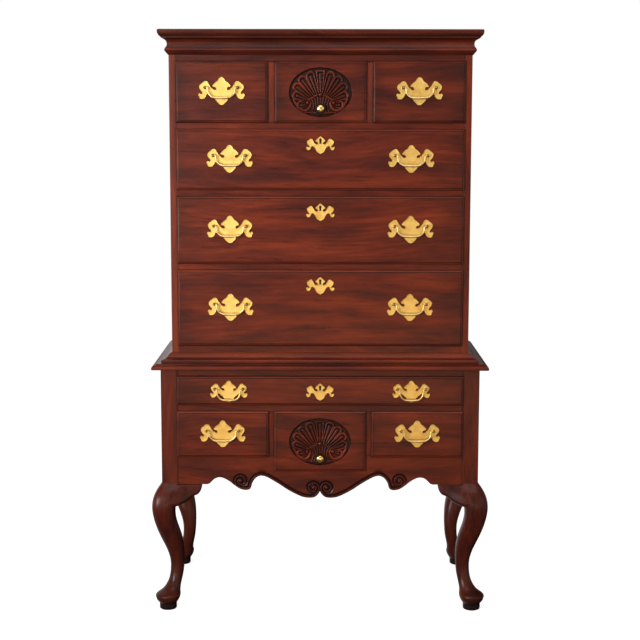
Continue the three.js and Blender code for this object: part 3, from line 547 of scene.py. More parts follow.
corniceLook = {
    # painted shade added over the whole cornice
    "darker": 0.12,
    # out from the case, up from the cornice's lower edge and the painted shade on that row
    "profile": (
        (0.0, 0.0, 0.55), (0.8, 0.1, 0.55), (1.6, 1.0, 0.50), (3.2, 3.0, 0.46), (5.2, 5.4, 0.42),
        (7.4, 8.0, 0.36), (9.4, 10.6, 0.26), (10.9, 13.0, 0.10), (11.4, 14.8, 0.0), (10.9, 16.6, 0.0),
        (9.8, 18.6, 0.0), (8.6, 20.8, 0.05), (7.6, 22.8, 0.15), (7.0, 24.0, 0.45), (5.7, 24.4, 0.50),
        (5.2, 25.6, 0.35), (4.5, 28.2, 0.12), (3.9, 32.0, 0.08), (4.1, 35.4, 0.12), (5.1, 38.6, 0.18),
        (6.8, 41.6, 0.26), (9.2, 44.4, 0.36), (12.2, 46.8, 0.46), (15.8, 48.7, 0.55), (19.6, 49.9, 0.58),
        (20.6, 50.1, 0.35), (20.9, 53.0, 0.15), (22.8, 53.2, 0.35), (23.0, 54.6, 0.55), (24.6, 55.4, 0.55),
        (26.8, 57.6, 0.48), (28.8, 61.0, 0.42), (30.0, 64.6, 0.36), (30.5, 68.4, 0.32), (30.4, 71.4, 0.30),
        (29.6, 73.6, 0.30), (28.0, 74.8, 0.30), (26.6, 75.0, 0.30), (0.0, 75.0, 0.20),
    ),
}
waistLook = {
    # the moulding that holds the upper case: out from it, up from the waist board, and painted shade (below
    # zero, a painted highlight)
    "holder": (
        (0.0, -0.6, 0.5), (30.3, -0.6, 0.65), (30.3, 1.0, 0.62), (30.3, 6.0, 0.40), (30.3, 8.6, -0.10),
        (29.7, 9.7, -0.30), (28.8, 10.0, -0.10), (24.4, 10.6, 0.22), (20.2, 11.9, 0.26),
        (16.6, 14.0, 0.05), (13.8, 16.8, -0.12), (12.2, 19.6, -0.22), (11.6, 20.4, -0.16),
        (10.5, 20.6, 0.20), (10.1, 21.6, -0.02), (8.5, 24.0, -0.20), (6.1, 26.6, -0.26),
        (3.4, 28.7, -0.30), (1.4, 29.8, -0.30), (0.3, 30.0, 0.20), (0.0, 30.0, 0.45),
    ),
    # the board's edge: out from the lower case, up from its underside, and painted shade
    "edge": (
        (20.0, 0.0, 0.4), (23.2, 0.0, 0.35), (24.6, 0.6, 0.15), (25.7, 2.4, 0.0), (26.0, 4.6, 0.0),
        (25.6, 7.4, 0.0), (24.4, 10.0, 0.0), (22.4, 12.4, 0.08), (19.6, 14.4, 0.20), (16.4, 15.6, 0.32),
        (13.2, 16.2, 0.45), (12.4, 16.4, 0.45), (12.2, 17.6, 0.25), (11.6, 18.0, 0.15),
    ),
    "boardThickness": 18 * mm,
    "railDepth": 20 * mm,
    # painted shade on the rail under the waist board's overhang
    "railDarker": 0.32,
}


def makeCornice():
    low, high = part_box("cornice")
    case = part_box("upper_side_right")
    rows = np.array(corniceLook["profile"])
    runs = mitredRuns(rows, case[1].x, case[0].y, high.y, low.z)
    glaze = np.tile(rows[:, 2] + corniceLook["darker"], 2)
    for side, grain in mouldingGrain:
        makePiece("cornice_" + side, runs[side], cherry[grain], "case", ("cornice",), mouldingCrease, glaze)


def makeWaist():
    low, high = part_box("waist_board")
    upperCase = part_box("upper_side_right")
    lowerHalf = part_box("lower_side_right")[1].x + panelSetBack
    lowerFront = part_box("lower_shelf")[0].y
    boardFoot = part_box("lower_side_right")[1].z + glueGap
    edge = np.array(waistLook["edge"])
    rings = []
    for out, up in edge[:, :2]:
        x = lowerHalf + out * mm
        y = lowerFront - out * mm
        z = boardFoot + up * mm
        rings.append([(-x, y, z), (x, y, z), (x, high.y, z), (-x, high.y, z)])
    glaze = np.repeat(edge[:, 2], 4)
    makePiece("waist_board_top", loft(rings), cherry["x"], "case", ("waist_board",), mouldingCrease, glaze)
    rows = np.array(waistLook["holder"])
    boardTop = boardFoot + waistLook["boardThickness"]
    runs = mitredRuns(rows, upperCase[1].x, upperCase[0].y, high.y, boardTop)
    glaze = np.tile(rows[:, 2], 2)
    for side, grain in mouldingGrain:
        makePiece("waist_moulding_" + side, runs[side], cherry[grain], "case", (), mouldingCrease, glaze)
    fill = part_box("apron")[1].x
    rail = board((-fill, lowerFront, low.z), (fill, lowerFront + waistLook["railDepth"], boardFoot))
    makePiece("waist_rail", rail, cherry["x"], "case", edges=jointEdges, darker=waistLook["railDarker"])


makeCornice()
makeWaist()
print("mouldings made")


# Case boards

caseLook = {
    "bladeDepth": 62 * mm,      # cherry at the front of a dust board
    "bladeSoften": 0.7 * mm,
    # painted shade on the blade under the waist drawer
    "lowerBladeDarker": 0.28,
    "sideSoften": {"upper": 1.6 * mm, "lower": 1.0 * mm},
    # painted light on the left side, painted shade on the right
    "sideDarker": {"left": -0.18, "right": 0.06},
    "railDepth": 20 * mm,
    # painted shade on the rail under the cornice
    "topRailDarker": 0.26,
    # painted shade on the rail under the upper case's lowest drawer
    "baseRailDarker": 0.24,
    # painted shade along the dividers' edges beside the drawers
    "stileEdges": (3.4 * mm, 7.0 * mm, 1.3),
    "stileDarker": {"upper": -0.20, "lower": 0.05},
    "boardSoften": 0.5 * mm,
    "bottomThickness": 15 * mm,
    "bottomBehindRail": 0.5 * mm,
    "dustThickness": 15 * mm,
    "dustInset": 0.4 * mm,      # a dust board is that much thinner than its blade, above and below
    "guideGap": 0.6 * mm,
    "guideThickness": 12 * mm,
    "guideSoften": 1.0 * mm,
    "plankGap": 0.8 * mm,
    "plankSoften": 1.2 * mm,
    "upperPlanks": 5,
    "lowerPlanks": 2,
}


def insideLip(left, right):
    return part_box(left)[1].x - lipOver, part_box(right)[0].x + lipOver


def bladed(name, low, high, node, darker=0.0):
    low, high = np.array(low), np.array(high)
    split = low[1] + caseLook["bladeDepth"]
    inset = caseLook["dustInset"]
    blade = board(low, (high[0], split, high[2]), caseLook["bladeSoften"])
    dust = board((low[0], split, low[2] + inset), high - (0, 0, inset), caseLook["boardSoften"])
    makePiece(name + "_blade", blade, cherry["x"], "case", (node,), edges=jointEdges, darker=darker)
    makePiece(name + "_dust_board", dust, innerWood["x"], "case", (node,))


def partitions(name, inner, outer, low, high, node):
    for side, sign in bothSides:
        split = low[0] + caseLook["bladeDepth"]
        stile = board((sign * inner, low[0], low[1]), (sign * outer, split, high[1]), caseLook["bladeSoften"])
        rest = board((sign * inner, split, low[1]), (sign * outer, *high), caseLook["boardSoften"])
        makePiece(f"{name}_partition_{side}", stile, cherry["z"], "case", (node,),
                  edges=caseLook["stileEdges"], darker=caseLook["stileDarker"][name])
        makePiece(f"{name}_runner_wall_{side}", rest, innerWood["y"], "case", (node,))


def planked(name, node, count):
    low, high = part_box(node)
    height = (high.z - low.z) / count
    for i in range(count):
        foot = low.z + i * height + (caseLook["plankGap"] if i else 0)
        head = low.z + (i + 1) * height
        plank = board((low.x, low.y, foot), (high.x, high.y, head), caseLook["plankSoften"])
        makePiece(f"{name}_plank_{i + 1}", plank, innerWood["x"], "case", (node,))


def makeTopAndBottom():
    soften = caseLook["boardSoften"]
    low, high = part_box("upper_top")
    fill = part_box("upper_back")[1].x
    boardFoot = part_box("upper_side_left")[1].z + glueGap
    top = board((low.x, low.y, boardFoot), high, soften)
    makePiece("top_board", top, cherry["x"], "case", ("upper_top",))
    rail = board((-fill, low.y, low.z), (fill, low.y + caseLook["railDepth"], boardFoot))
    makePiece("top_rail", rail, cherry["x"], "case", ("upper_top",), edges=jointEdges,
              darker=caseLook["topRailDarker"])
    low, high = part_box("upper_bottom")
    railBack = low.y + caseLook["railDepth"]
    rail = board(low, (high.x, railBack, high.z - lipOver))
    makePiece("base_rail", rail, cherry["x"], "case", ("upper_bottom",), edges=jointEdges,
              darker=caseLook["baseRailDarker"])
    boardFront = railBack + caseLook["bottomBehindRail"]
    bottom = board((low.x, boardFront, high.z - caseLook["bottomThickness"]), high, soften)
    makePiece("bottom_board", bottom, innerWood["x"], "case", ("upper_bottom",))


def makeUpperCase():
    for side in ("left", "right"):
        name = f"upper_side_{side}"
        panel = board(*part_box(name), caseLook["sideSoften"]["upper"])
        makePiece(name + "_panel", panel, cherry["z"], "case", (name,), darker=caseLook["sideDarker"][side])
    makeTopAndBottom()
    for shelf in ("upper_shelf_2", "upper_shelf_3"):
        bladed(shelf, *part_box(shelf), shelf)
    low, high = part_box("upper_shelf_1")
    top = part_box("drawer_top_left")[0].z + lipOver
    bladed("upper_shelf_1", low, (high.x, high.y, top), "upper_shelf_1")
    inner, outer = insideLip("drawer_top_shell", "drawer_top_right")
    partitions("upper", inner, outer, (low.y, top), (high.y, high.z), "upper_shelf_1")
    planked("upper_back", "upper_back", caseLook["upperPlanks"])


def makeWing(name, node, sign, fill, deep, foot, head):
    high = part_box(node)[1]
    near = fill + caseLook["guideGap"]
    far = near + caseLook["guideThickness"]
    wing = board((sign * fill, -deep, foot), (sign * high.x, deep, head), caseLook["boardSoften"])
    guide = board((sign * near, -deep, head), (sign * far, deep, high.z), caseLook["guideSoften"])
    makePiece(name, together(wing, guide), innerWood["y"], "case", (node,))


def makeLowerCase():
    for side in ("left", "right"):
        name = f"lower_side_{side}"
        panel = board(*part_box(name), caseLook["sideSoften"]["lower"])
        makePiece(name + "_panel", panel, cherry["y"], "case", (name,))
    planked("lower_back", "lower_back", caseLook["lowerPlanks"])
    low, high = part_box("lower_shelf")
    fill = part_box("apron")[1].x
    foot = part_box("drawer_low_left")[1].z - lipOver
    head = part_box("drawer_waist")[0].z + lipOver
    corners = (-fill, low.y, foot), (fill, high.y, head)
    bladed("lower_shelf", *corners, "lower_shelf", caseLook["lowerBladeDarker"])
    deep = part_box("lower_side_left")[1].y
    for side, sign in bothSides:
        makeWing(f"lower_shelf_wing_{side}", "lower_shelf", sign, fill, deep, foot, head)
    inner, outer = insideLip("drawer_low_shell", "drawer_low_right")
    partitions("lower", inner, outer, (low.y, low.z), (high.y, foot), "lower_shelf")
    makeLowerBottom(inner, fill, deep)


def makeLowerBottom(inner, fill, deep):
    low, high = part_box("lower_bottom")
    soften = caseLook["boardSoften"]
    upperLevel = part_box("drawer_low_left")[0].z + lipOver
    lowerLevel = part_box("drawer_low_shell")[0].z + lipOver
    underside = upperLevel - caseLook["dustThickness"]
    step = inner + caseLook["dustThickness"]
    middle = board((-inner, low.y, low.z), (inner, high.y, lowerLevel), soften)
    makePiece("lower_dust_board_middle", middle, innerWood["x"], "case", ("lower_bottom",))
    for side, sign in bothSides:
        wall = board((sign * inner, low.y, low.z), (sign * step, high.y, upperLevel), soften)
        shelf = board((sign * step, low.y, underside), (sign * fill, high.y, upperLevel), soften)
        makePiece(f"lower_dust_wall_{side}", wall, innerWood["y"], "case", ("lower_bottom",))
        makePiece(f"lower_dust_board_{side}", shelf, innerWood["x"], "case", ("lower_bottom",))
        makeWing(f"lower_dust_wing_{side}", "lower_bottom", sign, fill, deep, underside, upperLevel)


makeUpperCase()
makeLowerCase()
print("cases made")


# Legs. Drawn with the case's corner at zero and inward positive, then put on each corner.

legLook = {
    # height, outer edge beyond the case, inner edge inside it, how square the section is
    "rows": (
        (0.0, 9.6, 36.7, 2.0), (1.6, 12.0, 39.0, 2.0), (4.0, 13.2, 40.3, 2.0), (19.0, 13.4, 40.4, 2.0),
        (21.5, 13.8, 40.8, 2.0), (23.5, 16.2, 42.6, 2.0), (27.0, 19.6, 45.2, 2.0), (32.0, 22.6, 48.2, 2.0),
        (37.5, 24.6, 50.6, 2.0), (43.0, 25.9, 52.2, 2.0), (47.0, 24.6, 52.8, 2.0), (52.0, 18.4, 52.4, 2.0),
        (57.5, 9.6, 51.6, 2.0), (64.0, 1.4, 51.6, 2.0), (73.0, -5.6, 52.6, 2.0), (90.0, -14.2, 56.2, 2.0),
        (106.0, -18.0, 59.6, 2.1), (122.0, -19.6, 61.8, 2.1), (138.0, -19.9, 63.2, 2.2),
        (155.0, -18.2, 64.0, 2.2), (171.0, -14.4, 64.2, 2.25), (187.0, -9.2, 63.8, 2.3),
        (203.0, -3.0, 62.8, 2.35), (219.0, 3.6, 60.6, 2.4), (235.0, 9.8, 57.4, 2.5),
        (251.0, 15.4, 53.0, 2.6), (267.0, 20.4, 48.2, 2.7), (284.0, 24.8, 43.8, 2.8),
        (300.0, 28.2, 41.0, 2.9), (316.0, 30.6, 40.2, 3.0), (332.0, 31.5, 41.4, 3.1),
        (348.0, 30.2, 43.6, 3.2), (364.0, 26.4, 46.0, 3.4), (378.0, 20.0, 48.0, 3.8),
        (390.0, 12.4, 49.6, 4.4), (399.0, 5.4, 50.6, 5.4), (405.0, 1.2, 50.8, 6.6),
        (411.0, -1.4, 50.4, 8.0), (416.0, -1.6, 49.6, 9.0),
    ),
    "around": 64,
    "rowSteps": 3,
    # knee block: along from the corner, its underside's height, its face as a share of the knee's swell
    "blockRows": (
        (26.0, 332.0, 0.94), (40.0, 332.0, 0.90), (50.0, 334.0, 0.83), (60.0, 338.0, 0.74),
        (72.0, 344.0, 0.62), (84.0, 352.5, 0.50), (95.0, 363.0, 0.41), (101.0, 366.0, 0.36),
        (110.0, 369.5, 0.29), (117.0, 376.5, 0.23), (121.5, 385.0, 0.18), (124.0, 395.0, 0.14),
    ),
    "blockSteps": 3,
    "blockHead": 401.6,
    "blockDepth": 20.5,
    "blockLeast": 0.4,          # a block stands at least this far in front of the post
    "blockLevels": (0.0, 0.04, 0.10, 0.2, 0.32, 0.46, 0.6, 0.74, 0.87, 1.0),
    "blockRounding": 13.0,      # how far up its face the block's lower edge is rounded
    "voxel": 2.0,
    "smoothing": 7,
    "postWidth": 51.0,
    "postFoot": 400.0,
    "postSoften": 2.0 * mm,
    "darker": 0.45,
    "postDarker": {"left": 0.24, "right": 0.18},
    # darker low down: below which height, over what height it fades in and how dark it gets
    "lowDarkening": ((24.0, 4.0, 0.22), (38.0, 14.0, 0.25), (320.0, 240.0, 0.16)),
    # and painted shade in the hollow under the knee blocks: height and reach, from the corner and reach,
    # darkness
    "hollowShade": ((352.0, 70.0), (30.0, 40.0), 0.25),
    "mostDarkening": 0.9,
}


def legShaft():
    rows = curveThrough(legLook["rows"], legLook["rowSteps"])
    angles = np.linspace(0, 2 * math.pi, legLook["around"], endpoint=False)
    rings = []
    for z, outer, inner, squareness in rows:
        middle = (inner - outer) / 2
        half = (inner + outer) / 2
        power = 2 / squareness
        x = middle + half * np.sign(np.cos(angles)) * np.abs(np.cos(angles)) ** power
        y = middle + half * np.sign(np.sin(angles)) * np.abs(np.sin(angles)) ** power
        rings.append(np.stack([x, y, np.full(len(angles), z)], -1))
    return loft(rings)


def kneeBlock(alongX):
    head = legLook["blockHead"]
    rows = np.array(legLook["rows"])
    levels = np.array(legLook["blockLevels"])[::-1]
    rings = []
    for along, foot, share in curveThrough(legLook["blockRows"], legLook["blockSteps"]):
        up = foot + levels * (head - foot)
        turn = np.clip((up - foot) / legLook["blockRounding"], 0, 1)
        swell = np.interp(up, rows[:, 0], rows[:, 1]) * share * np.sqrt(1 - (1 - turn) ** 2)
        face = np.stack([-np.maximum(swell, legLook["blockLeast"]), up], -1)
        section = np.vstack([[legLook["blockDepth"], head], face, [legLook["blockDepth"], foot]])
        run = np.full(len(section), along)
        order = (run, section[:, 0]) if alongX else (section[:, 0], run)
        rings.append(np.stack([*order, section[:, 1]], -1))
    return loft(rings)


def fused(name, shape, voxel, smoothing):
    mesh = bpy.data.meshes.new(name)
    points, faces = shape
    mesh.from_pydata(np.asarray(points).tolist(), [], faces)
    work = bpy.data.objects.new(name, mesh)
    bpy.context.scene.collection.objects.link(work)
    remesh = work.modifiers.new("remesh", "REMESH")
    remesh.mode = "VOXEL"
    remesh.voxel_size = voxel
    smooth = work.modifiers.new("smooth", "SMOOTH")
    smooth.factor = 0.5
    smooth.iterations = smoothing
    result = bpy.data.meshes.new_from_object(work.evaluated_get(bpy.context.evaluated_depsgraph_get()))
    points = np.array([vertex.co for vertex in result.vertices])
    faces = [list(face.vertices) for face in result.polygons]
    bpy.data.objects.remove(work)
    bpy.data.meshes.remove(result)
    return points, faces


# painted shade under the knee blocks, and darker low down
def legShadeAndTint(points):
    x, z = points[:, 0], points[:, 2]
    (height, heightReach), (start, startReach), dark = legLook["hollowShade"]
    glaze = smoothStep((heightReach - np.abs(z - height)) / heightReach)
    glaze = glaze * smoothStep((x - start) / startReach) * dark
    for below, fade, dark in legLook["lowDarkening"]:
        glaze = glaze + smoothStep((below - z) / fade) * dark
    return np.clip(glaze, 0, legLook["mostDarkening"])


def makeLegs():
    shaft = legShaft()
    blocks = {"front": (kneeBlock(True), kneeBlock(False)), "rear": (kneeBlock(False),)}
    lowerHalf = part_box("lower_side_right")[1].x + panelSetBack
    postIn = legLook["postWidth"] * mm
    postFoot = legLook["postFoot"] * mm
    for end, endSign in (("front", -1), ("rear", 1)):
        # drawn and fused in millimetres
        drawn = together(shaft, *blocks[end])
        points, faces = fused("leg_" + end, drawn, legLook["voxel"], legLook["smoothing"])
        points[:, 2] -= points[:, 2].min()
        glaze = legShadeAndTint(points)
        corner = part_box("lower_shelf")[0].y if end == "front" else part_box("waist_board")[1].y
        for side, sign in bothSides:
            node = f"leg_{end}_{side}"
            flip = np.array([-sign, -endSign, 1])
            placed = points * flip * mm + np.array([sign * lowerHalf, corner, 0])
            makePiece(node + "_cabriole", (placed, faces), cherry["z"], "case", (node,), legCrease, glaze,
                      darker=legLook["darker"])
            inner = (sign * (lowerHalf - postIn), corner - endSign * postIn, postFoot)
            outer = (sign * lowerHalf, corner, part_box(node)[1].z)
            post = board(outer, inner, legLook["postSoften"])
            makePiece(node + "_post", post, cherry["z"], "case", (node,), edges=jointEdges,
                      darker=legLook["postDarker"][side])


makeLegs()
print("legs made")


# Apron: a board with a scrolled lower edge, cut with a bead that ends in volutes

apronLook = {
    "darker": 0.22,
    # the lower edge of the left half: across from the middle and height, from the middle outwards
    "edge": (
        (0.0, 380.0), (2.5, 375.0), (6.0, 370.0), (10.7, 364.9), (17.0, 361.0), (24.0, 359.3), (31.0, 358.9),
        (49.0, 360.6), (67.0, 367.0), (99.0, 384.0), (124.0, 400.6), (149.0, 416.0), (167.0, 425.4),
        (183.0, 428.8), (196.0, 424.0), (205.0, 414.5), (210.5, 404.0), (213.0, 394.0), (217.0, 387.0),
        (224.0, 384.0), (233.0, 383.6), (249.0, 387.6), (265.0, 398.6), (278.0, 409.6), (294.0, 419.4),
        (309.0, 424.0), (322.0, 421.6), (333.0, 413.8), (341.0, 405.4), (348.0, 402.0),
    ),
    "edgeSteps": 7,
    "openingFoot": 491.5,
    "thickness": 20.0,
    # the relief's mesh: fine near the carving, coarse elsewhere
    "fineStep": 1.5,
    "fineFrom": (-272.0, 358.0),
    "fineTo": (272.1, 440.0),
    "fineReach": 11.0,
    "coarseStep": (11.0, 9.0),
    "coarseInset": 6.0,
    "coarseHeights": (362.0, 492.0),
    "coarseAway": 13.0,
    "fromOutline": 0.7,
    "beadHeight": 3.5,          # CAD's bead stands this far in front of the face
    "ridgeRise": 2.4,           # the carved ridge above the face
    "ridgeFall": 2.6,           # and its foot below it
    "ridgeHalf": 3.3,
    "grooveWidth": 5.6,
    "edgeInset": 4.6,
    "beadSteps": (8, 4),        # along the edge that it follows, and then along the bead
    "volutesFrom": 4,           # it leaves the edge's line so many of its points before the ends
    "beadFrom": (24.0, 359.3),  # where the bead leaves the edge for the volutes
    "beadTo": (231.0, 383.6),
    # volutes: middle, then radius by the angle in degrees
    "outer": {
        "middle": (246.0, 412.6),
        "turns": (
            (243, 26.2), (258, 23.2), (274, 20.8), (300, 18.9), (330, 17.8), (360, 17.2), (405, 16.7),
            (450, 16.3), (495, 15.8), (540, 14.8), (585, 13.2), (630, 11.4), (675, 9.8), (720, 8.5),
            (765, 7.5), (810, 6.6),
        ),
    },
    "centre": {
        "middle": (20.4, 391.4),
        "turns": (
            (276, 27.8), (265, 26.0), (254, 24.2), (242, 21.8), (228, 19.9), (214, 18.6), (200, 17.8),
            (180, 17.1), (150, 16.5), (120, 16.1), (90, 15.7), (45, 15.2), (0, 14.5), (-45, 13.3),
            (-90, 11.7), (-135, 10.1), (-180, 8.8), (-225, 7.8), (-270, 7.0),
        ),
    },
    "eye": 2.6,
    # painted shade of the carved bead: light on its crown, dark at its foot and in the groove beside it
    "ridgeDarkness": (0.14, 0.96),      # on its crown and at its foot
}


def voluteSpiral(look):
    angle, radius = np.array(look["turns"], float).T
    angle = np.radians(angle)
    return np.array(look["middle"]) + radius[:, None] * np.stack([np.cos(angle), np.sin(angle)], -1)


def carvedPath():
    edgeSteps, beadSteps = apronLook["beadSteps"]
    edge = curveThrough(apronLook["edge"], edgeSteps)
    along = np.gradient(edge, axis=0)
    along /= np.linalg.norm(along, axis=1)[:, None]
    inward = np.stack([-along[:, 1], along[:, 0]], -1)
    inset = edge + inward * apronLook["edgeInset"]
    first = np.argmin(np.hypot(*(edge - apronLook["beadFrom"]).T)) + apronLook["volutesFrom"]
    last = np.argmin(np.hypot(*(edge - apronLook["beadTo"]).T)) - apronLook["volutesFrom"]
    centre = voluteSpiral(apronLook["centre"])
    outer = voluteSpiral(apronLook["outer"])
    return curveThrough(np.vstack([centre[::-1], inset[first:last:2], outer]), beadSteps)


def makeApron():
    low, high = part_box("apron")
    face = low.y / mm + apronLook["beadHeight"]
    fill = high.x / mm
    openingFoot = apronLook["openingFoot"]
    shellFoot = (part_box("drawer_low_shell")[0].z + lipOver) / mm
    shellHalf = (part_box("drawer_low_shell")[1].x - lipOver) / mm
    edge = curveThrough(apronLook["edge"], apronLook["edgeSteps"])
    corners = [[fill, edge[-1, 1]], [fill, openingFoot], [shellHalf, openingFoot], [shellHalf, shellFoot]]
    half = np.vstack([edge, corners])
    outline = np.vstack([half, half[::-1][:-1] * (-1, 1)])
    path = carvedPath()
    paths = [path, path * (-1, 1)]

    def toCarving(flat):
        return np.minimum(distanceTo(flat, paths[0])[0], distanceTo(flat, paths[1])[0])

    stepX, stepZ = apronLook["coarseStep"]
    across = np.arange(-fill + apronLook["coarseInset"], fill, stepX)
    coarse = gridOf(across, np.arange(*apronLook["coarseHeights"], stepZ))
    (left, foot), (right, head) = apronLook["fineFrom"], apronLook["fineTo"]
    step = apronLook["fineStep"]
    fine = gridOf(np.arange(left, right, step), np.arange(foot, head, step))
    fine = fine[toCarving(fine) < apronLook["fineReach"]]
    coarse = coarse[toCarving(coarse) > apronLook["coarseAway"]]
    spots = np.vstack([fine, coarse])
    spots = spots[isInside(spots, outline)]
    spots = spots[distanceTo(spots, outline, True)[0] > apronLook["fromOutline"]]

    def depthAt(flat):
        away = toCarving(flat)
        for sign in (-1, 1):
            for look in (apronLook["outer"], apronLook["centre"]):
                eye = np.hypot(*(flat - np.array(look["middle"]) * (sign, 1)).T) - apronLook["eye"]
                away = np.minimum(away, np.maximum(eye, 0))
        half, groove = apronLook["ridgeHalf"], apronLook["grooveWidth"]
        fall, rise = apronLook["ridgeFall"], apronLook["ridgeRise"]
        onCrown, atFoot = apronLook["ridgeDarkness"]
        crown = np.sqrt(np.clip(1 - (away / half) ** 2, 0, 1))
        rising = fall * (1 - smoothStep((away - half) / groove))
        depth = np.where(away < half, fall - (fall + rise) * crown, rising)
        # painted shade in the groove beside the ridge
        outside = 1 - smoothStep((away - half - 1) / groove)
        dark = np.where(away < half, onCrown + (atFoot - onCrown) * (1 - crown), outside)
        return depth, dark

    shape, glaze = reliefPlate(outline, spots, depthAt, face, face + apronLook["thickness"])
    makePiece("apron_board", (shape[0] * mm, shape[1]), cherry["x"], "case", ("apron",), carvingCrease,
              glaze, darker=apronLook["darker"])


def reliefPlate(outline, spots, depthAt, front, back, holes=()):
    coords = [Vector(p) for p in outline]
    edges = []
    for hole in holes:
        start = len(coords)
        coords += [Vector(p) for p in hole]
        edges += [(start + i, start + (i + 1) % len(hole)) for i in range(len(hole))]
    coords += [Vector(p) for p in spots]
    found = delaunay_2d_cdt(coords, edges, [list(range(len(outline)))], 1, 1e-6)
    flat = np.array([v[:] for v in found[0]])
    triangles = np.array([face for face in found[2]])
    middles = flat[triangles].mean(1)
    keep = isInside(middles, np.asarray(outline))
    for hole in holes:
        keep &= ~isInside(middles, np.asarray(hole))
    triangles = triangles[keep]
    depth, glaze = depthAt(flat)
    count = len(flat)
    points = np.vstack([
        np.stack([flat[:, 0], front + depth, flat[:, 1]], -1),
        np.stack([flat[:, 0], np.full(count, back), flat[:, 1]], -1),
    ])
    faces = triangles.tolist() + (triangles[:, ::-1] + count).tolist()
    sides = {}
    for a, b, c in triangles.tolist():
        for pair in ((a, b), (b, c), (c, a)):
            key = tuple(sorted(pair))
            sides[key] = None if key in sides else pair
    for pair in sides.values():
        if pair:
            faces.append([pair[1], pair[0], pair[0] + count, pair[1] + count])
    used = sorted({i for face in faces for i in face})
    order = {old: new for new, old in enumerate(used)}
    faces = [[order[i] for i in face] for face in faces]
    return (points[used], faces), np.concatenate([glaze, np.zeros(count)])[used]


makeApron()
print("apron made")


# Drawers

drawerLook = {
    # more darkening on some fronts than on others, most on the top row
    "darkerFronts": {
        "top_left": 0.16, "top_shell": 0.10, "top_right": 0.17,
        "waist": 0.06, "low_left": 0.04, "low_right": 0.10,
    },
    "lip": 8.0,                 # thickness of the lip, front to back
    "inset": 4.2,               # drawer box inside the edge of its front
    "foot": 3.3,                # drawer box above the lower edge of its front
    "head": 5.5,
    "frontDepth": 12.0,
    "behindLip": 0.3,           # the CAD's step from the lip to the drawer box
    "intoLip": 0.2,             # the inner board reaches that far into the lip
    "frontSoften": 0.5,
    "boardThickness": 12.0,
    "boardSoften": 0.7,
    "backBelow": 4.0,           # the back's top edge below the sides'
    "bottomRise": 8.0,
    "bottomThickness": 7.0,
    "bottomSoften": 0.4,
    "bottomGrooves": (4.0, 2.0, -1.0),  # how far it reaches into the sides, the front and past the back
    "faceLines": (7, 5),
    "longFrom": 500.0,          # a front wider than this is a long one
    # the rounded edge of a front: out from the flat face, how far it falls back, and the painted shade on it,
    # dark in the fillet and at the gap, below zero a painted highlight on the lip
    "thumb": (
        (0.0, 0.0, 0.0), (0.30, 0.9, 0.88), (1.5, 1.05, 0.85), (2.1, 1.3, 0.05), (3.0, 1.8, -0.22),
        (4.8, 2.9, -0.24), (6.2, 4.1, -0.12), (7.3, 5.5, 0.10), (7.8, 6.6, 0.45), (8.0, 7.4, 0.85),
        (8.0, 8.0, 0.95),
    ),
    "tails": 4,
    "tailShares": (0.36, 0.26),     # half widths of a dovetail at its tip and root, of their spacing
    "tailTip": 3.0,                 # behind the drawer box's front
    "tailRoot": 0.5,                # behind the front board's back
    "tailDepth": 2.0,
    "tailProud": 0.12,
}
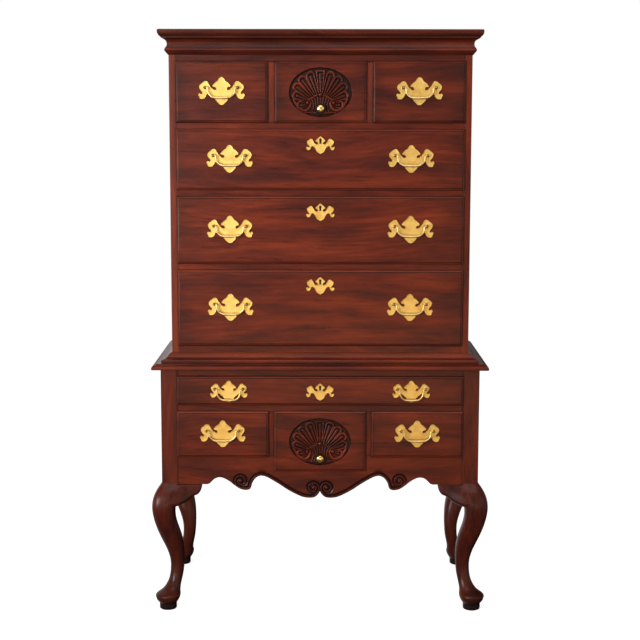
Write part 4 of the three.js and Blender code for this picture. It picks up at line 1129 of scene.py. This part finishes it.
shellLook = {
    "halfWidth": 95.0,
    "halfHeight": 73.6,
    "drop": 0.6,
    "sink": 6.0,
    "wall": 3.2,                # width of the sloping wall round the sunk oval
    "rimDarkness": (1.2, 2.4),  # painted shade round the sunk oval: starts so far outside it, and is full after that width
    "grid": 0.9,
    "gridBeyond": 2.0,          # the fine grid reaches beyond the oval
    "outerLines": 4,
    # lobes of the left half: inner end, its half width, middle of the tip, tip's radius
    "lobes": (
        ((-9.5, -8.5), 6.6, (-30.5, 50.0), 14.5),
        ((-18.5, -13.0), 6.6, (-54.7, 37.4), 14.1),
        ((-28.0, -18.0), 6.4, (-71.2, 16.2), 13.9),
        ((-36.5, -24.0), 6.0, (-73.6, -9.6), 13.6),
        ((-42.0, -38.0), 5.0, (-60.0, -38.5), 14.0),
    ),
    "middleLobe": {"foot": -7.0, "top": 66.0, "footHalf": 5.6, "topHalf": 15.5},
    # across a lobe from its rim (0) to its middle (1): depth below the face and painted shade, below zero a
    # painted highlight on the rim
    "section": (
        (0.0, 5.0, 0.70), (0.04, 2.2, 0.30), (0.09, 1.0, -0.12), (0.21, 0.4, -0.45), (0.34, 0.9, -0.18),
        (0.41, 2.2, 0.35), (0.48, 5.0, 0.92), (0.57, 5.4, 0.95), (0.66, 3.8, 0.76), (0.76, 2.8, 0.60),
        (1.0, 2.3, 0.50),
    ),
    "crownShare": 0.21,
    "joinedRims": 2.0,          # how fast the notch between two lobes closes
    "tipRim": 4.0,              # how much wider a lobe's rim is round its tip
    "footPlane": (
        (0, -8), (-22, -16), (-40, -24), (-33, -31), (-31, -42), (-37, -53), (-48, -59), (-34, -64), (0, -68),
    ),
    "footPlaneDepth": 5.2,
    # ridges of the left half: path, half width, depth of the crown and its painted shade, below zero a
    # painted highlight
    "ridgeSteps": 5,
    "ridges": {
        "band": (
            ((-80.5, -22.0), (-76.5, -30.0), (-69.5, -41.0), (-59.5, -50.6), (-48.5, -54.8), (-38.0, -50.6),
             (-31.6, -41.5), (-30.6, -32.0), (-35.0, -26.0)), 4.7, 0.4, -0.40),
        "arc": (((-40.0, -24.0), (-26.0, -18.0), (-13.5, -10.4), (0.0, -7.6)), 3.2, 0.8, -0.05),
        "rim": (((-47.0, -60.6), (-22.0, -61.8), (0.0, -63.4)), 2.4, 1.6, 0.16),
    },
    "stems": (0.0, 8.0, 15.6, 23.4),    # out from the middle, below the arc
    "stemPoints": 12,
    "stemHalf": 2.6,
    "stemCrown": 1.7,
    # painted shade on the stems' crowns
    "stemDarkness": 0.25,
    "stemTop": (-11.0, 0.46),           # height of the middle stem's top, and how the others' tops fall off
    "stemFoot": -60.0,
    "stemLean": (1.1, 0.24),
    # round knops: middle and radius
    "eye": ((-39.2, -31.6), 5.9),
    "bead": ((0.0, -7.0), 6.9),
    "knopRing": 1.8,
    "knopCrown": (-0.6, -0.5),          # depth and painted shade, below zero a painted highlight
    "ridgeFoot": 5.3,
    # painted shade on the sunk ground and at the foot of each ridge
    "footDarkness": 0.92,
    "knobRise": 43.5,
    "knobSeat": 17.5,
    "seatFade": 2.0,
    "seatDepth": 2.5,
    # painted shadow round the knob
    "knobShadowDarkness": 0.97,
}


def shareAcross(spots, inner, innerHalf, tip, tipRadius):
    start, end = np.array(inner), np.array(tip)
    length = np.linalg.norm(end - start)
    forward = (end - start) / length
    along = (spots - start) @ forward
    aside = np.abs((spots - start) @ np.array([-forward[1], forward[0]]))
    half = innerHalf + (tipRadius - innerHalf) * np.clip(along / length, 0, 1)
    beyond = np.maximum(np.maximum(along - length, -along), 0)
    fromRim = 1 - np.hypot(aside, beyond) / half
    nearTip = np.maximum(along - length + shellLook["tipRim"], 0)
    inside = 1 - np.cbrt(aside ** 3 + nearTip ** 3) / half
    crown = shellLook["crownShare"]
    return np.where(fromRim < crown, fromRim, np.maximum(np.minimum(fromRim, inside), crown))


def shellDepth(spots, knobAt):
    look = shellLook
    oval = np.hypot(spots[:, 0] / look["halfWidth"], spots[:, 1] / look["halfHeight"])
    reach = np.maximum(np.hypot(spots[:, 0], spots[:, 1]), 1e-6)
    inward = reach / np.maximum(oval, 1e-6) - reach
    mirrored = np.abs(spots) * (-1, 0) + spots * (0, 1)
    depth = look["sink"] * smoothStep(inward / look["wall"])
    outside, width = look["rimDarkness"]
    dark = look["footDarkness"] * smoothStep((inward + outside) / width)
    isInOval = inward > look["wall"] * 0.5

    def lay(newDepth, newDark, where):
        higher = where & isInOval & (newDepth < depth)
        depth[higher] = newDepth[higher]
        dark[higher] = newDark[higher]

    at, fall, shade = np.array(look["section"]).T
    lobe = look["middleLobe"]
    up = (spots[:, 1] - lobe["foot"]) / (lobe["top"] - lobe["foot"])
    half = lobe["footHalf"] + (lobe["topHalf"] - lobe["footHalf"]) * np.clip(up, 0, 1)
    shares = [np.where(up > 0, np.minimum(half + mirrored[:, 0], lobe["top"] - spots[:, 1]) / half, -1)]
    shares += [shareAcross(mirrored, *one) for one in look["lobes"]]
    ranked = np.sort(shares, axis=0)
    shared = ranked[-1] + look["joinedRims"] * np.maximum(ranked[-2], 0)
    share = np.where(ranked[-1] < look["crownShare"], np.minimum(shared, look["crownShare"]), ranked[-1])
    lay(np.interp(share, at, fall), np.interp(share, at, shade), ranked[-1] > 0)
    footPlane = np.array(look["footPlane"], float)
    depth[isInside(mirrored, footPlane)] = look["footPlaneDepth"]
    dark[isInside(mirrored, footPlane)] = look["footDarkness"]

    def layRound(away, half, top, darkness):
        crown = np.sqrt(np.clip(1 - (away / half) ** 2, 0, 1))
        foot, footDarkness = look["ridgeFoot"], look["footDarkness"]
        shade = footDarkness - (footDarkness - darkness) * crown
        lay(foot - (foot - top) * crown, shade, away < half)

    for stem in look["stems"]:
        drop = np.linspace(0, 1, look["stemPoints"])
        top = look["stemTop"][0] - look["stemTop"][1] * stem
        x = -stem * (look["stemLean"][0] - look["stemLean"][1] * np.sin(math.pi * drop))
        path = np.stack([x, top + (look["stemFoot"] - top) * drop], -1)
        layRound(distanceTo(mirrored, path)[0], look["stemHalf"], look["stemCrown"], look["stemDarkness"])
    for path, half, top, darkness in look["ridges"].values():
        away = distanceTo(mirrored, curveThrough(path, look["ridgeSteps"]))[0]
        layRound(away, half, top, darkness)
    for middle, radius in (look["eye"], look["bead"]):
        away = np.hypot(*(mirrored - np.array(middle)).T)
        ring = away < radius + look["knopRing"]
        depth[ring] = np.maximum(depth[ring], look["ridgeFoot"])
        dark[ring] = look["footDarkness"]
        layRound(away, radius, *look["knopCrown"])
    fromKnob = np.hypot(*(spots - (0, knobAt)).T)
    seat = smoothStep((look["knobSeat"] - fromKnob) / look["seatFade"])
    return depth * (1 - seat) + look["seatDepth"] * seat, np.maximum(dark, look["knobShadowDarkness"] * seat)


def lippedFront(low, high, depthAt=None, lines=None):
    across = np.array([low.x, high.x]) / mm
    up = np.array([low.z, high.z]) / mm
    face = low.y / mm
    thumbWidth = drawerLook["thumb"][-1][0]
    wide, tall = drawerLook["faceLines"]
    xs = lines[0] if lines else np.linspace(across[0] + thumbWidth, across[1] - thumbWidth, wide)
    zs = lines[1] if lines else np.linspace(up[0] + thumbWidth, up[1] - thumbWidth, tall)
    flat = gridOf(xs, zs)
    depth, glaze = depthAt(flat) if depthAt else (np.zeros(len(flat)), np.zeros(len(flat)))
    points = [np.stack([flat[:, 0], face + depth, flat[:, 1]], -1)]
    corner = np.arange(len(flat)).reshape(len(zs), len(xs))
    faces = np.stack([corner[:-1, :-1], corner[:-1, 1:], corner[1:, 1:], corner[1:, :-1]], -1)
    faces = faces.reshape(-1, 4).tolist()
    border = np.concatenate([corner[0, :-1], corner[:-1, -1], corner[-1, :0:-1], corner[:0:-1, 0]])
    middle = np.array([across.mean(), up.mean()])
    half = np.array([across[1] - across[0], up[1] - up[0]]) / 2 - thumbWidth
    ring = border
    start = len(flat)
    darkness = [glaze]
    for out, fall, dark in drawerLook["thumb"][1:]:
        darkness.append(np.full(len(border), dark))
        grown = middle + (flat[border] - middle) * (half + out) / half
        points.append(np.stack([grown[:, 0], np.full(len(border), face + fall), grown[:, 1]], -1))
        outer = np.arange(start, start + len(border))
        faces += np.stack([ring, np.roll(ring, -1), np.roll(outer, -1), outer], -1).tolist()
        ring = outer
        start += len(border)
    faces.append(ring[::-1].tolist())
    points = np.vstack(points)
    return (points * mm, faces), np.concatenate(darkness)


def dovetails(x, sign, front, foot, head):
    look = drawerLook
    pitch = (head - foot) / look["tails"]
    tip = front + look["tailTip"]
    root = front + look["frontDepth"] + look["tailRoot"]
    broad, narrow = (pitch * share for share in look["tailShares"])
    shapes = []
    for i in range(look["tails"]):
        middle = foot + (i + 0.5) * pitch
        outline = (
            (tip, middle - broad), (tip, middle + broad), (root, middle + narrow), (root, middle - narrow),
        )
        reaches = (-look["tailDepth"], look["tailProud"])
        shapes.append(loft([[(x + sign * reach, y, z) for y, z in outline] for reach in reaches]))
    return shapes


def shellFront(low, high):
    look = shellLook
    centre = np.array([(low.x + high.x) / 2, (low.z + high.z) / 2]) / mm - (0, look["drop"])
    thumbWidth = drawerLook["thumb"][-1][0]
    lines = []
    for axis, reach in ((0, look["halfWidth"]), (1, look["halfHeight"])):
        ends = np.array([(low.x, high.x), (low.z, high.z)][axis]) / mm + (thumbWidth, -thumbWidth)
        fineReach = reach + look["gridBeyond"]
        count = int(2 * fineReach / look["grid"])
        fine = np.linspace(centre[axis] - fineReach, centre[axis] + fineReach, count)
        before = np.linspace(ends[0], fine[0], look["outerLines"])[:-1]
        after = np.linspace(fine[-1], ends[1], look["outerLines"])[1:]
        lines.append(np.concatenate([before, fine, after]))
    knobAt = low.z / mm + look["knobRise"] - centre[1]
    return lippedFront(low, high, lambda flat: shellDepth(flat - centre, knobAt), lines)


def makeDrawer(name):
    node = "drawer_" + name
    low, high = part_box(node)
    look = drawerLook
    shape, glaze = shellFront(low, high) if name.endswith("shell") else lippedFront(low, high)
    frontEdges = longFrontEdges if high.x - low.x > look["longFrom"] * mm else smallFrontEdges
    darker = look["darkerFronts"].get(name, 0.0)
    makePiece(node + "_front", shape, cherry["x"], node, (node,), frontCrease, glaze, frontEdges, darker)

    x0, x1 = low.x / mm + look["inset"], high.x / mm - look["inset"]
    z0, z1 = low.z / mm + look["foot"], high.z / mm - look["head"]
    backOfLip = low.y / mm + look["lip"]
    front = backOfLip + look["behindLip"]
    hollowFront = front + look["frontDepth"]
    back = high.y / mm
    thick, soften = look["boardThickness"], look["boardSoften"]
    inside = (x0, backOfLip - look["intoLip"], z0), (x1, hollowFront, z1)
    points, faces = board(*inside, look["frontSoften"])
    makePiece(node + "_front_inside", (points * mm, faces), cherry["x"], node, (node,))
    sides = []
    for edge, sign in ((x0, -1), (x1, 1)):
        sideBoard = board((edge, hollowFront, z0), (edge - sign * thick, back, z1), soften)
        sides += [sideBoard, *dovetails(edge, sign, front, z0, z1)]
    points, faces = together(*sides)
    makePiece(node + "_sides", (points * mm, faces), innerWood["y"], node, (node,))
    foot = z0 + look["bottomRise"]
    head = z1 - look["backBelow"]
    backBoard = board((x0 + thick, back - thick, foot), (x1 - thick, back, head), soften)
    intoSide, intoFront, intoBack = look["bottomGrooves"]
    bottom = board(
        (x0 + thick - intoSide, hollowFront - intoFront, foot),
        (x1 - thick + intoSide, back + intoBack, foot + look["bottomThickness"]), look["bottomSoften"],
    )
    points, faces = together(backBoard, bottom)
    makePiece(node + "_back_and_bottom", (points * mm, faces), innerWood["x"], node, (node,))


drawerNames = ("top_left", "top_shell", "top_right", "long_1", "long_2", "long_3",
               "waist", "low_left", "low_shell", "low_right")
for name in drawerNames:
    makeDrawer(name)
print("drawers made")


# Brasses

plateLook = {
    # half of the outline from the top middle to the bottom middle, of the half width and half height
    "outline": (
        (0.0, 1.0), (0.052, 0.985), (0.108, 0.919), (0.150, 0.79), (0.19, 0.71), (0.27, 0.625), (0.345, 0.50),
        (0.390, 0.405), (0.392, 0.33), (0.353, 0.272), (0.29, 0.262), (0.262, 0.225), (0.239, 0.178),
        (0.25, 0.115), (0.29, 0.085), (0.369, 0.158), (0.420, 0.24), (0.465, 0.335), (0.515, 0.45),
        (0.560, 0.59), (0.600, 0.685), (0.663, 0.722), (0.72, 0.705), (0.765, 0.672), (0.82, 0.595),
        (0.90, 0.49), (0.945, 0.40), (0.963, 0.29), (0.951, 0.18), (0.915, 0.07), (0.860, -0.03),
        (0.832, -0.10), (0.838, -0.17), (0.875, -0.19), (0.915, -0.145), (0.965, -0.16), (0.995, -0.235),
        (0.998, -0.32), (0.96, -0.42), (0.948, -0.51), (0.915, -0.57), (0.859, -0.592), (0.80, -0.585),
        (0.745, -0.562), (0.700, -0.49), (0.655, -0.405), (0.625, -0.29), (0.590, -0.215), (0.533, -0.222),
        (0.470, -0.305), (0.400, -0.415), (0.330, -0.505), (0.285, -0.595), (0.255, -0.68), (0.215, -0.77),
        (0.160, -0.845), (0.120, -0.93), (0.060, -0.985), (0.0, -1.0),
    ),
    "depth": 2.0,
    "bevel": 1.5,
    "postRiseShare": 0.243,     # of the half height
    # post: radius, reach from the plate's back and painted shade
    "post": (
        (0.0, 1.0, 0.1), (5.4, 1.0, 0.1), (5.6, 2.2, 0.1), (4.8, 2.8, 0.2), (3.6, 3.4, 0.5), (3.1, 5.0, 0.6),
        (3.0, 7.2, 0.6), (3.3, 8.8, 0.7), (3.8, 10.0, 0.7), (4.1, 11.8, 0.7), (4.1, 13.6, 0.74),
        (3.7, 15.4, 0.74), (2.8, 16.8, 0.7), (1.5, 17.7, 0.6), (0.0, 18.0, 0.5),
    ),
}
escutcheonLook = {
    "outline": (
        (0.0, 1.0), (0.06, 0.965), (0.133, 0.871), (0.24, 0.70), (0.345, 0.535), (0.352, 0.44),
        (0.305, 0.385), (0.225, 0.31), (0.178, 0.20), (0.20, 0.125), (0.265, 0.105), (0.345, 0.15),
        (0.438, 0.332),
        (0.51, 0.55), (0.57, 0.688), (0.635, 0.735), (0.703, 0.72), (0.80, 0.62), (0.902, 0.504),
        (0.95, 0.40), (0.942, 0.28), (0.889, 0.052), (0.80, -0.08), (0.765, -0.155), (0.80, -0.20),
        (0.875, -0.175), (0.955, -0.16), (0.995, -0.235), (1.0, -0.33), (0.96, -0.48), (0.905, -0.57),
        (0.822, -0.598), (0.735, -0.53), (0.676, -0.41), (0.645, -0.23), (0.60, -0.155), (0.52, -0.155),
        (0.424, -0.272), (0.332, -0.53), (0.252, -0.767), (0.175, -0.86), (0.119, -0.905), (0.05, -0.98),
        (0.0, -1.0),
    ),
    "bevel": 1.2,
    "keyRise": 0.58,
    "keyRadius": 3.3,
    "slotHalf": 1.7,
    "slotLength": 10.5,
    "arcPoints": 17,
    "lockShare": 1.05,          # the lock's face behind the keyhole, a little wider than the hole
    "lockFace": (-0.35, 0.2),
}
# what plates and escutcheons have in common
castLook = {
    "rings": (0.45, 1.0),       # lines of the mesh on the bevel, as shares of it
    "beyondBevel": 1.2,
    "ringKept": 0.93,
    "gridStep": 3.0,
    "gridBeyond": 2.2,
    "fromHole": 0.4,
    "bevelShare": 0.72,         # of the plate's thickness
    "bevelPower": 1.3,
    "dish": (0.25, 2.0),        # a slight hollow inside the bright edge: depth and reach
    # painted shade along a plate's outline and round its keyhole
    "edgeShade": 0.6,
    "holeShadeReach": 0.8,
    "backTarnish": 0.8,
}


def mirroredOutline(shares, halfWidth, halfHeight, steps=2):
    half = np.array(shares) * (halfWidth, halfHeight)
    whole = np.vstack([half, half[-2:0:-1] * (-1, 1)])
    return curveThrough(whole, steps, closed=True)


def castPlate(outline, thickness, bevel, holes=()):
    look = castLook
    along = np.roll(outline, -1, axis=0) - np.roll(outline, 1, axis=0)
    along /= np.linalg.norm(along, axis=1)[:, None]
    inward = np.stack([along[:, 1], -along[:, 0]], -1)
    spots = []
    for offset in (*(bevel * share for share in look["rings"]), bevel + look["beyondBevel"]):
        ring = outline + inward * offset
        isFar = distanceTo(ring, outline, True)[0] > offset * look["ringKept"]
        spots.append(ring[isInside(ring, outline) & isFar])
    low, high = outline.min(0), outline.max(0)
    step = look["gridStep"]
    grid = gridOf(np.arange(low[0], high[0], step), np.arange(low[1], high[1], step))
    grid = grid[isInside(grid, outline)]
    spots.append(grid[distanceTo(grid, outline, True)[0] > bevel + look["gridBeyond"]])
    spots = np.vstack(spots)
    for hole in holes:
        spots = spots[~isInside(spots, hole)]
        spots = spots[distanceTo(spots, hole, True)[0] > look["fromHole"]]

    def depthAt(flat):
        away = distanceTo(flat, outline, True)[0]
        slope = np.clip(1 - away / bevel, 0, 1)
        hollow, reach = look["dish"]
        dish = hollow * smoothStep((away - bevel) / reach)
        shadeAndTarnish = look["edgeShade"] * slope
        for hole in holes:
            fromHole = distanceTo(flat, hole, True)[0]
            shadeAndTarnish = np.maximum(shadeAndTarnish, 1 - fromHole / look["holeShadeReach"])
        return thickness * look["bevelShare"] * slope ** look["bevelPower"] + dish, shadeAndTarnish

    shape, shadeAndTarnish = reliefPlate(outline, spots, depthAt, -thickness, 0.0, holes)
    isBack = shape[0][:, 1] > -0.01
    return shape, np.where(isBack, look["backTarnish"], shadeAndTarnish)


def turnedPost(profile, x, z, sides=24):
    angles = np.linspace(0, 2 * math.pi, sides, endpoint=False)
    rings = []
    for radius, reach in profile:
        radius = max(radius, 0.05)
        rings.append(np.stack([
            x + radius * np.cos(angles), np.full(sides, -reach), z + radius * np.sin(angles),
        ], -1))
    return loft(rings)


pullLook = {
    "large": {"like": "top_left", "bail": 30.8, "postSpan": 99.0, "thickness": 1.0},
    "small": {"like": "waist_left", "bail": 34.0, "postSpan": 86.0, "thickness": 0.88},
    # half of a bail from its pin to the middle: shares of half the post span and of the drop, and radius
    "bailPath": (
        (0.965, 0.0, 2.1), (0.90, 0.0, 2.2), (0.855, -0.02, 2.3), (0.832, -0.10, 2.4), (0.828, -0.30, 2.4),
        (0.796, -0.53, 2.45), (0.708, -0.725, 2.55), (0.583, -0.885, 2.8), (0.445, -0.965, 3.2),
        (0.30, -0.99, 3.6), (0.15, -1.0, 3.7), (0.0, -1.0, 3.7),
    ),
    "bailAround": 18,
    # painted shade on the side of a bail that faces the plate
    "bailTarnish": 0.6,
    "bailShadeFade": (0.05, 0.5),     # the painted shade starts so far before the bail's edge, and is full after that width
}


def bailShape(look):
    half = np.array(pullLook["bailPath"]) * (look["postSpan"] / 2, look["bail"], look["thickness"])
    whole = curveThrough(np.vstack([half, half[-2::-1] * (-1, 1, 1)]), 4)
    path, radii = whole[:, :2], whole[:, 2]
    along = np.gradient(path, axis=0)
    along /= np.linalg.norm(along, axis=1)[:, None]
    across = np.stack([-along[:, 1], along[:, 0]], -1)
    angles = np.linspace(0, 2 * math.pi, pullLook["bailAround"], endpoint=False)
    rings = []
    for spot, side, radius in zip(path, across, radii):
        reach = radius * np.cos(angles)[:, None] * side
        rings.append(np.stack([spot[0] + reach[:, 0], radius * np.sin(angles), spot[1] + reach[:, 1]], -1))
    towardPlate = np.sin(angles)
    before, width = pullLook["bailShadeFade"]
    shadeAndTarnish = pullLook["bailTarnish"] * smoothStep((towardPlate + before) / width)
    return loft(rings), np.tile(shadeAndTarnish, len(rings))


def pullPlates():
    made = {}
    for size in ("large", "small"):
        look = pullLook[size]
        low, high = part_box("pull_plate_" + look["like"])
        halfWidth, halfHeight = (high.x - low.x) / 2 / mm, (high.z - low.z) / 2 / mm
        outline = mirroredOutline(plateLook["outline"], halfWidth, halfHeight)
        plate, shadeAndTarnish = castPlate(outline, plateLook["depth"], plateLook["bevel"])
        rise = plateLook["postRiseShare"] * halfHeight
        post = np.array(plateLook["post"])
        posts = [turnedPost(post[:, :2], sign * look["postSpan"] / 2, rise) for side, sign in bothSides]
        points, faces = together(plate, *posts)
        postPoints = (len(points) - len(plate[0])) // (2 * len(post))
        shadeAndTarnish = np.append(shadeAndTarnish, np.tile(np.repeat(post[:, 2], postPoints), 2))
        plateMesh = makeMesh(f"pull_plate_{size}", (points * mm, faces), brass, plateCrease, shadeAndTarnish)
        (points, faces), shadeAndTarnish = bailShape(look)
        bailMesh = makeMesh(f"bail_{size}", (points * mm, faces), bailBrass, bailCrease, shadeAndTarnish)
        made[size] = (plateMesh, bailMesh, rise * mm)
    return made


def keyhole(keyZ):
    look = escutcheonLook
    halfOpening = math.asin(look["slotHalf"] / look["keyRadius"])
    angles = np.linspace(halfOpening - math.pi / 2, 1.5 * math.pi - halfOpening, look["arcPoints"])
    arc = np.stack([look["keyRadius"] * np.cos(angles), keyZ + look["keyRadius"] * np.sin(angles)], -1)
    foot = [(-look["slotHalf"], keyZ - look["slotLength"]), (look["slotHalf"], keyZ - look["slotLength"])]
    return np.vstack([arc, foot])


def makeBrasses():
    meshes = pullPlates()
    for node in frame["nodes"]:
        if not node.startswith("pull_plate_"):
            continue
        label = node[len("pull_plate_"):]
        low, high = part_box(node)
        plateMesh, bailMesh, rise = meshes["small" if label.startswith("waist") else "large"]
        x, z = (low.x + high.x) / 2, (low.z + high.z) / 2
        drawer = frame["nodes"][node]["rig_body"]
        placePiece("brass_plate_" + label, plateMesh, drawer, (node,), (x, high.y, z))
        bail = "bail_" + label
        bailLow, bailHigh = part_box(bail)
        pivot = (x, (bailLow.y + bailHigh.y) / 2, z + rise)
        placePiece("brass_" + bail, bailMesh, bail, (bail,), pivot)
    for node in ("escutcheon_long_1", "escutcheon_long_2", "escutcheon_long_3", "escutcheon_waist"):
        low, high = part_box(node)
        halfWidth, halfHeight = (high.x - low.x) / 2 / mm, (high.z - low.z) / 2 / mm
        hole = keyhole(escutcheonLook["keyRise"] * halfHeight)
        outline = mirroredOutline(escutcheonLook["outline"], halfWidth, halfHeight)
        depth = (high.y - low.y) / mm
        (points, faces), shadeAndTarnish = castPlate(outline, depth, escutcheonLook["bevel"], (hole,))
        at = (0, high.y, (low.z + high.z) / 2)
        body = frame["nodes"][node]["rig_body"]
        mesh = makeMesh("brass_" + node, (points * mm, faces), brass, plateCrease, shadeAndTarnish)
        placePiece("brass_" + node, mesh, body, (node,), at)
        share = escutcheonLook["lockShare"]
        points, faces = loft([[(x * share, y, z) for x, z in hole] for y in escutcheonLook["lockFace"]])
        mesh = makeMesh("lock_" + node, (points * mm, faces), ironAndShade)
        placePiece("lock_face_" + node, mesh, body, (node,), at)


knobLook = {
    # radius and reach from the seat
    "profile": (
        (0.0, 0.0), (8.6, 0.0), (8.9, 0.8), (8.4, 1.6), (6.8, 2.2), (5.2, 3.2), (4.9, 5.0), (5.4, 6.8),
        (7.4, 8.6), (9.8, 10.6), (11.3, 12.8), (11.9, 15.0), (11.5, 17.2), (10.0, 19.2), (7.4, 20.8),
        (4.0, 21.7), (0.0, 22.0),
    ),
    "steps": 3,
    "around": 40,
}


def makeKnobs():
    profile = curveThrough(knobLook["profile"], knobLook["steps"])
    points, faces = turnedPost(profile, 0.0, 0.0, knobLook["around"])
    mesh = makeMesh("knob", (points * mm, faces), knobBrass, knobCrease)
    for name in ("top_shell", "low_shell"):
        low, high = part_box("knob_" + name)
        at = ((low.x + high.x) / 2, high.y, (low.z + high.z) / 2)
        placePiece("brass_knob_" + name, mesh, "drawer_" + name, ("knob_" + name,), at)


makeBrasses()
makeKnobs()
print("brasses made")


# Stage: a pale floor, soft light and the photograph's point of view

stageLook = {
    "floorSize": 14.0,
    "floorColours": ((0.80, 0.80, 0.80, 1), (0.792, 0.792, 0.792, 1)),
    "floorGlow": 0.80,
    "aim": (0, 0, 0.95),
    "lights": (
        # name, place, width, height, power, colour, whether it only shows in the gloss
        ("keyLight", (-2.5, -3.3, 1.2), 1.5, 1.5, 103, (1, 1, 1), False),
        ("fillLight", (2.5, -3.0, 1.6), 1.5, 1.8, 7, (1, 1, 1), False),
        ("topLight", (0.0, -2.2, 3.4), 2.4, 1.2, 22, (1, 1, 1), False),
        ("sheenLight", (-1.5, -4.2, 1.9), 1.2, 1.2, 11, (1, 1, 1), True),
        ("lowLight", (0.25, -4.0, 0.16), 2.2, 0.3, 9, (1, 0.66, 0.36), True),
    ),
    # strength of the surrounding light by where it comes from
    "worldFront": 0.50,         # level with the highboy
    "worldUpper": 0.22,
    "worldLower": 0.10,
    "worldBehindLeft": 0.9,
    "worldBehindRight": 0.2,
    # and where it changes from one to the next
    "upperFade": (0.20, 0.55),
    "lowerFade": (-0.34, -0.06),
    "sideFade": (-0.06, 0.12),
    "behindFade": (0.1, 0.6),
}
cameraLook = {
    "place": (0.00724, -4.57265, 1.4975),
    "lookDown": 7.651,
    "turn": 0.1024,
    "roll": 0.08,
    "lens": 80.34,
    "sensor": 36,
}


def makeFloor():
    size = stageLook["floorSize"] / 2
    corners = ((-size, -size, 0), (size, -size, 0), (size, size, 0), (-size, size, 0))
    mesh = bpy.data.meshes.new("floor")
    mesh.from_pydata(corners, [], [(0, 1, 2, 3)])
    finish, tree, shader = newFinish("paleFloor")
    spot = tree.nodes.new("ShaderNodeTexCoord").outputs["Object"]
    cloud = noise(tree, spot, (2.0, 2.0, 2.0), 3.0)
    put(tree, mixed(tree, "MIX", cloud.outputs[0], *stageLook["floorColours"]), shader.inputs["Base Color"])
    shader.inputs["Roughness"].default_value = 0.9
    shader.inputs["Emission Color"].default_value = (1, 1, 1, 1)
    shader.inputs["Emission Strength"].default_value = stageLook["floorGlow"]
    mesh.materials.append(finish)
    floor = bpy.data.objects.new("floor", mesh)
    bpy.context.scene.collection.objects.link(floor)
    floor.visible_diffuse = False       # it throws no light back onto the highboy
    floor.visible_glossy = False


def makeLights():
    aim = Vector(stageLook["aim"])
    for name, place, width, height, power, colour, onlyGloss in stageLook["lights"]:
        light = bpy.data.lights.new(name, "AREA")
        light.shape = "RECTANGLE"
        light.size = width
        light.size_y = height
        light.energy = power
        light.color = colour
        lamp = bpy.data.objects.new(name, light)
        lamp.location = place
        lamp.visible_diffuse = not onlyGloss
        lamp.rotation_euler = (aim - Vector(place)).to_track_quat("-Z", "Y").to_euler()
        bpy.context.scene.collection.objects.link(lamp)


def makeWorld():
    look = stageLook
    world = bpy.data.worlds.new("studio")
    world.use_nodes = True
    tree = world.node_tree
    tree.nodes.clear()
    around = tree.nodes.new("ShaderNodeTexCoord").outputs["Generated"]
    apart = tree.nodes.new("ShaderNodeSeparateXYZ")
    put(tree, around, apart.inputs[0])
    rise = apart.outputs[2]
    front = look["worldFront"]
    upper = spread(tree, rise, *look["upperFade"], front, look["worldUpper"])
    lower = spread(tree, rise, *look["lowerFade"], look["worldLower"], front)
    extra = [look[key] - front for key in ("worldBehindLeft", "worldBehindRight")]
    extra = spread(tree, apart.outputs[0], *look["sideFade"], *extra)
    behind = maths(tree, "MULTIPLY", spread(tree, apart.outputs[1], *look["behindFade"], 0.0, 1.0), extra)
    level = maths(tree, "ADD", maths(tree, "MINIMUM", upper, lower), behind)
    seen = tree.nodes.new("ShaderNodeLightPath").outputs["Is Camera Ray"]
    strength = maths(tree, "MAXIMUM", level, seen)
    background = tree.nodes.new("ShaderNodeBackground")
    put(tree, strength, background.inputs["Strength"])
    output = tree.nodes.new("ShaderNodeOutputWorld")
    tree.links.new(background.outputs[0], output.inputs["Surface"])
    background.inputs["Color"].default_value = (1, 1, 1, 1)
    bpy.context.scene.world = world
    bpy.context.scene.view_settings.view_transform = "Standard"


def makeCamera():
    camera = bpy.data.cameras.new("camera")
    camera.sensor_width = cameraLook["sensor"]
    camera.lens = cameraLook["lens"]
    holder = bpy.data.objects.new("camera", camera)
    turn = Matrix.Rotation(math.radians(cameraLook["turn"]), 4, "Z")
    tilt = Matrix.Rotation(math.radians(90 - cameraLook["lookDown"]), 4, "X")
    roll = Matrix.Rotation(math.radians(cameraLook["roll"]), 4, "Z")
    holder.matrix_world = Matrix.Translation(cameraLook["place"]) @ turn @ tilt @ roll
    bpy.context.scene.collection.objects.link(holder)
    bpy.context.scene.camera = holder


makeFloor()
makeLights()
makeWorld()
makeCamera()
print("stage made")
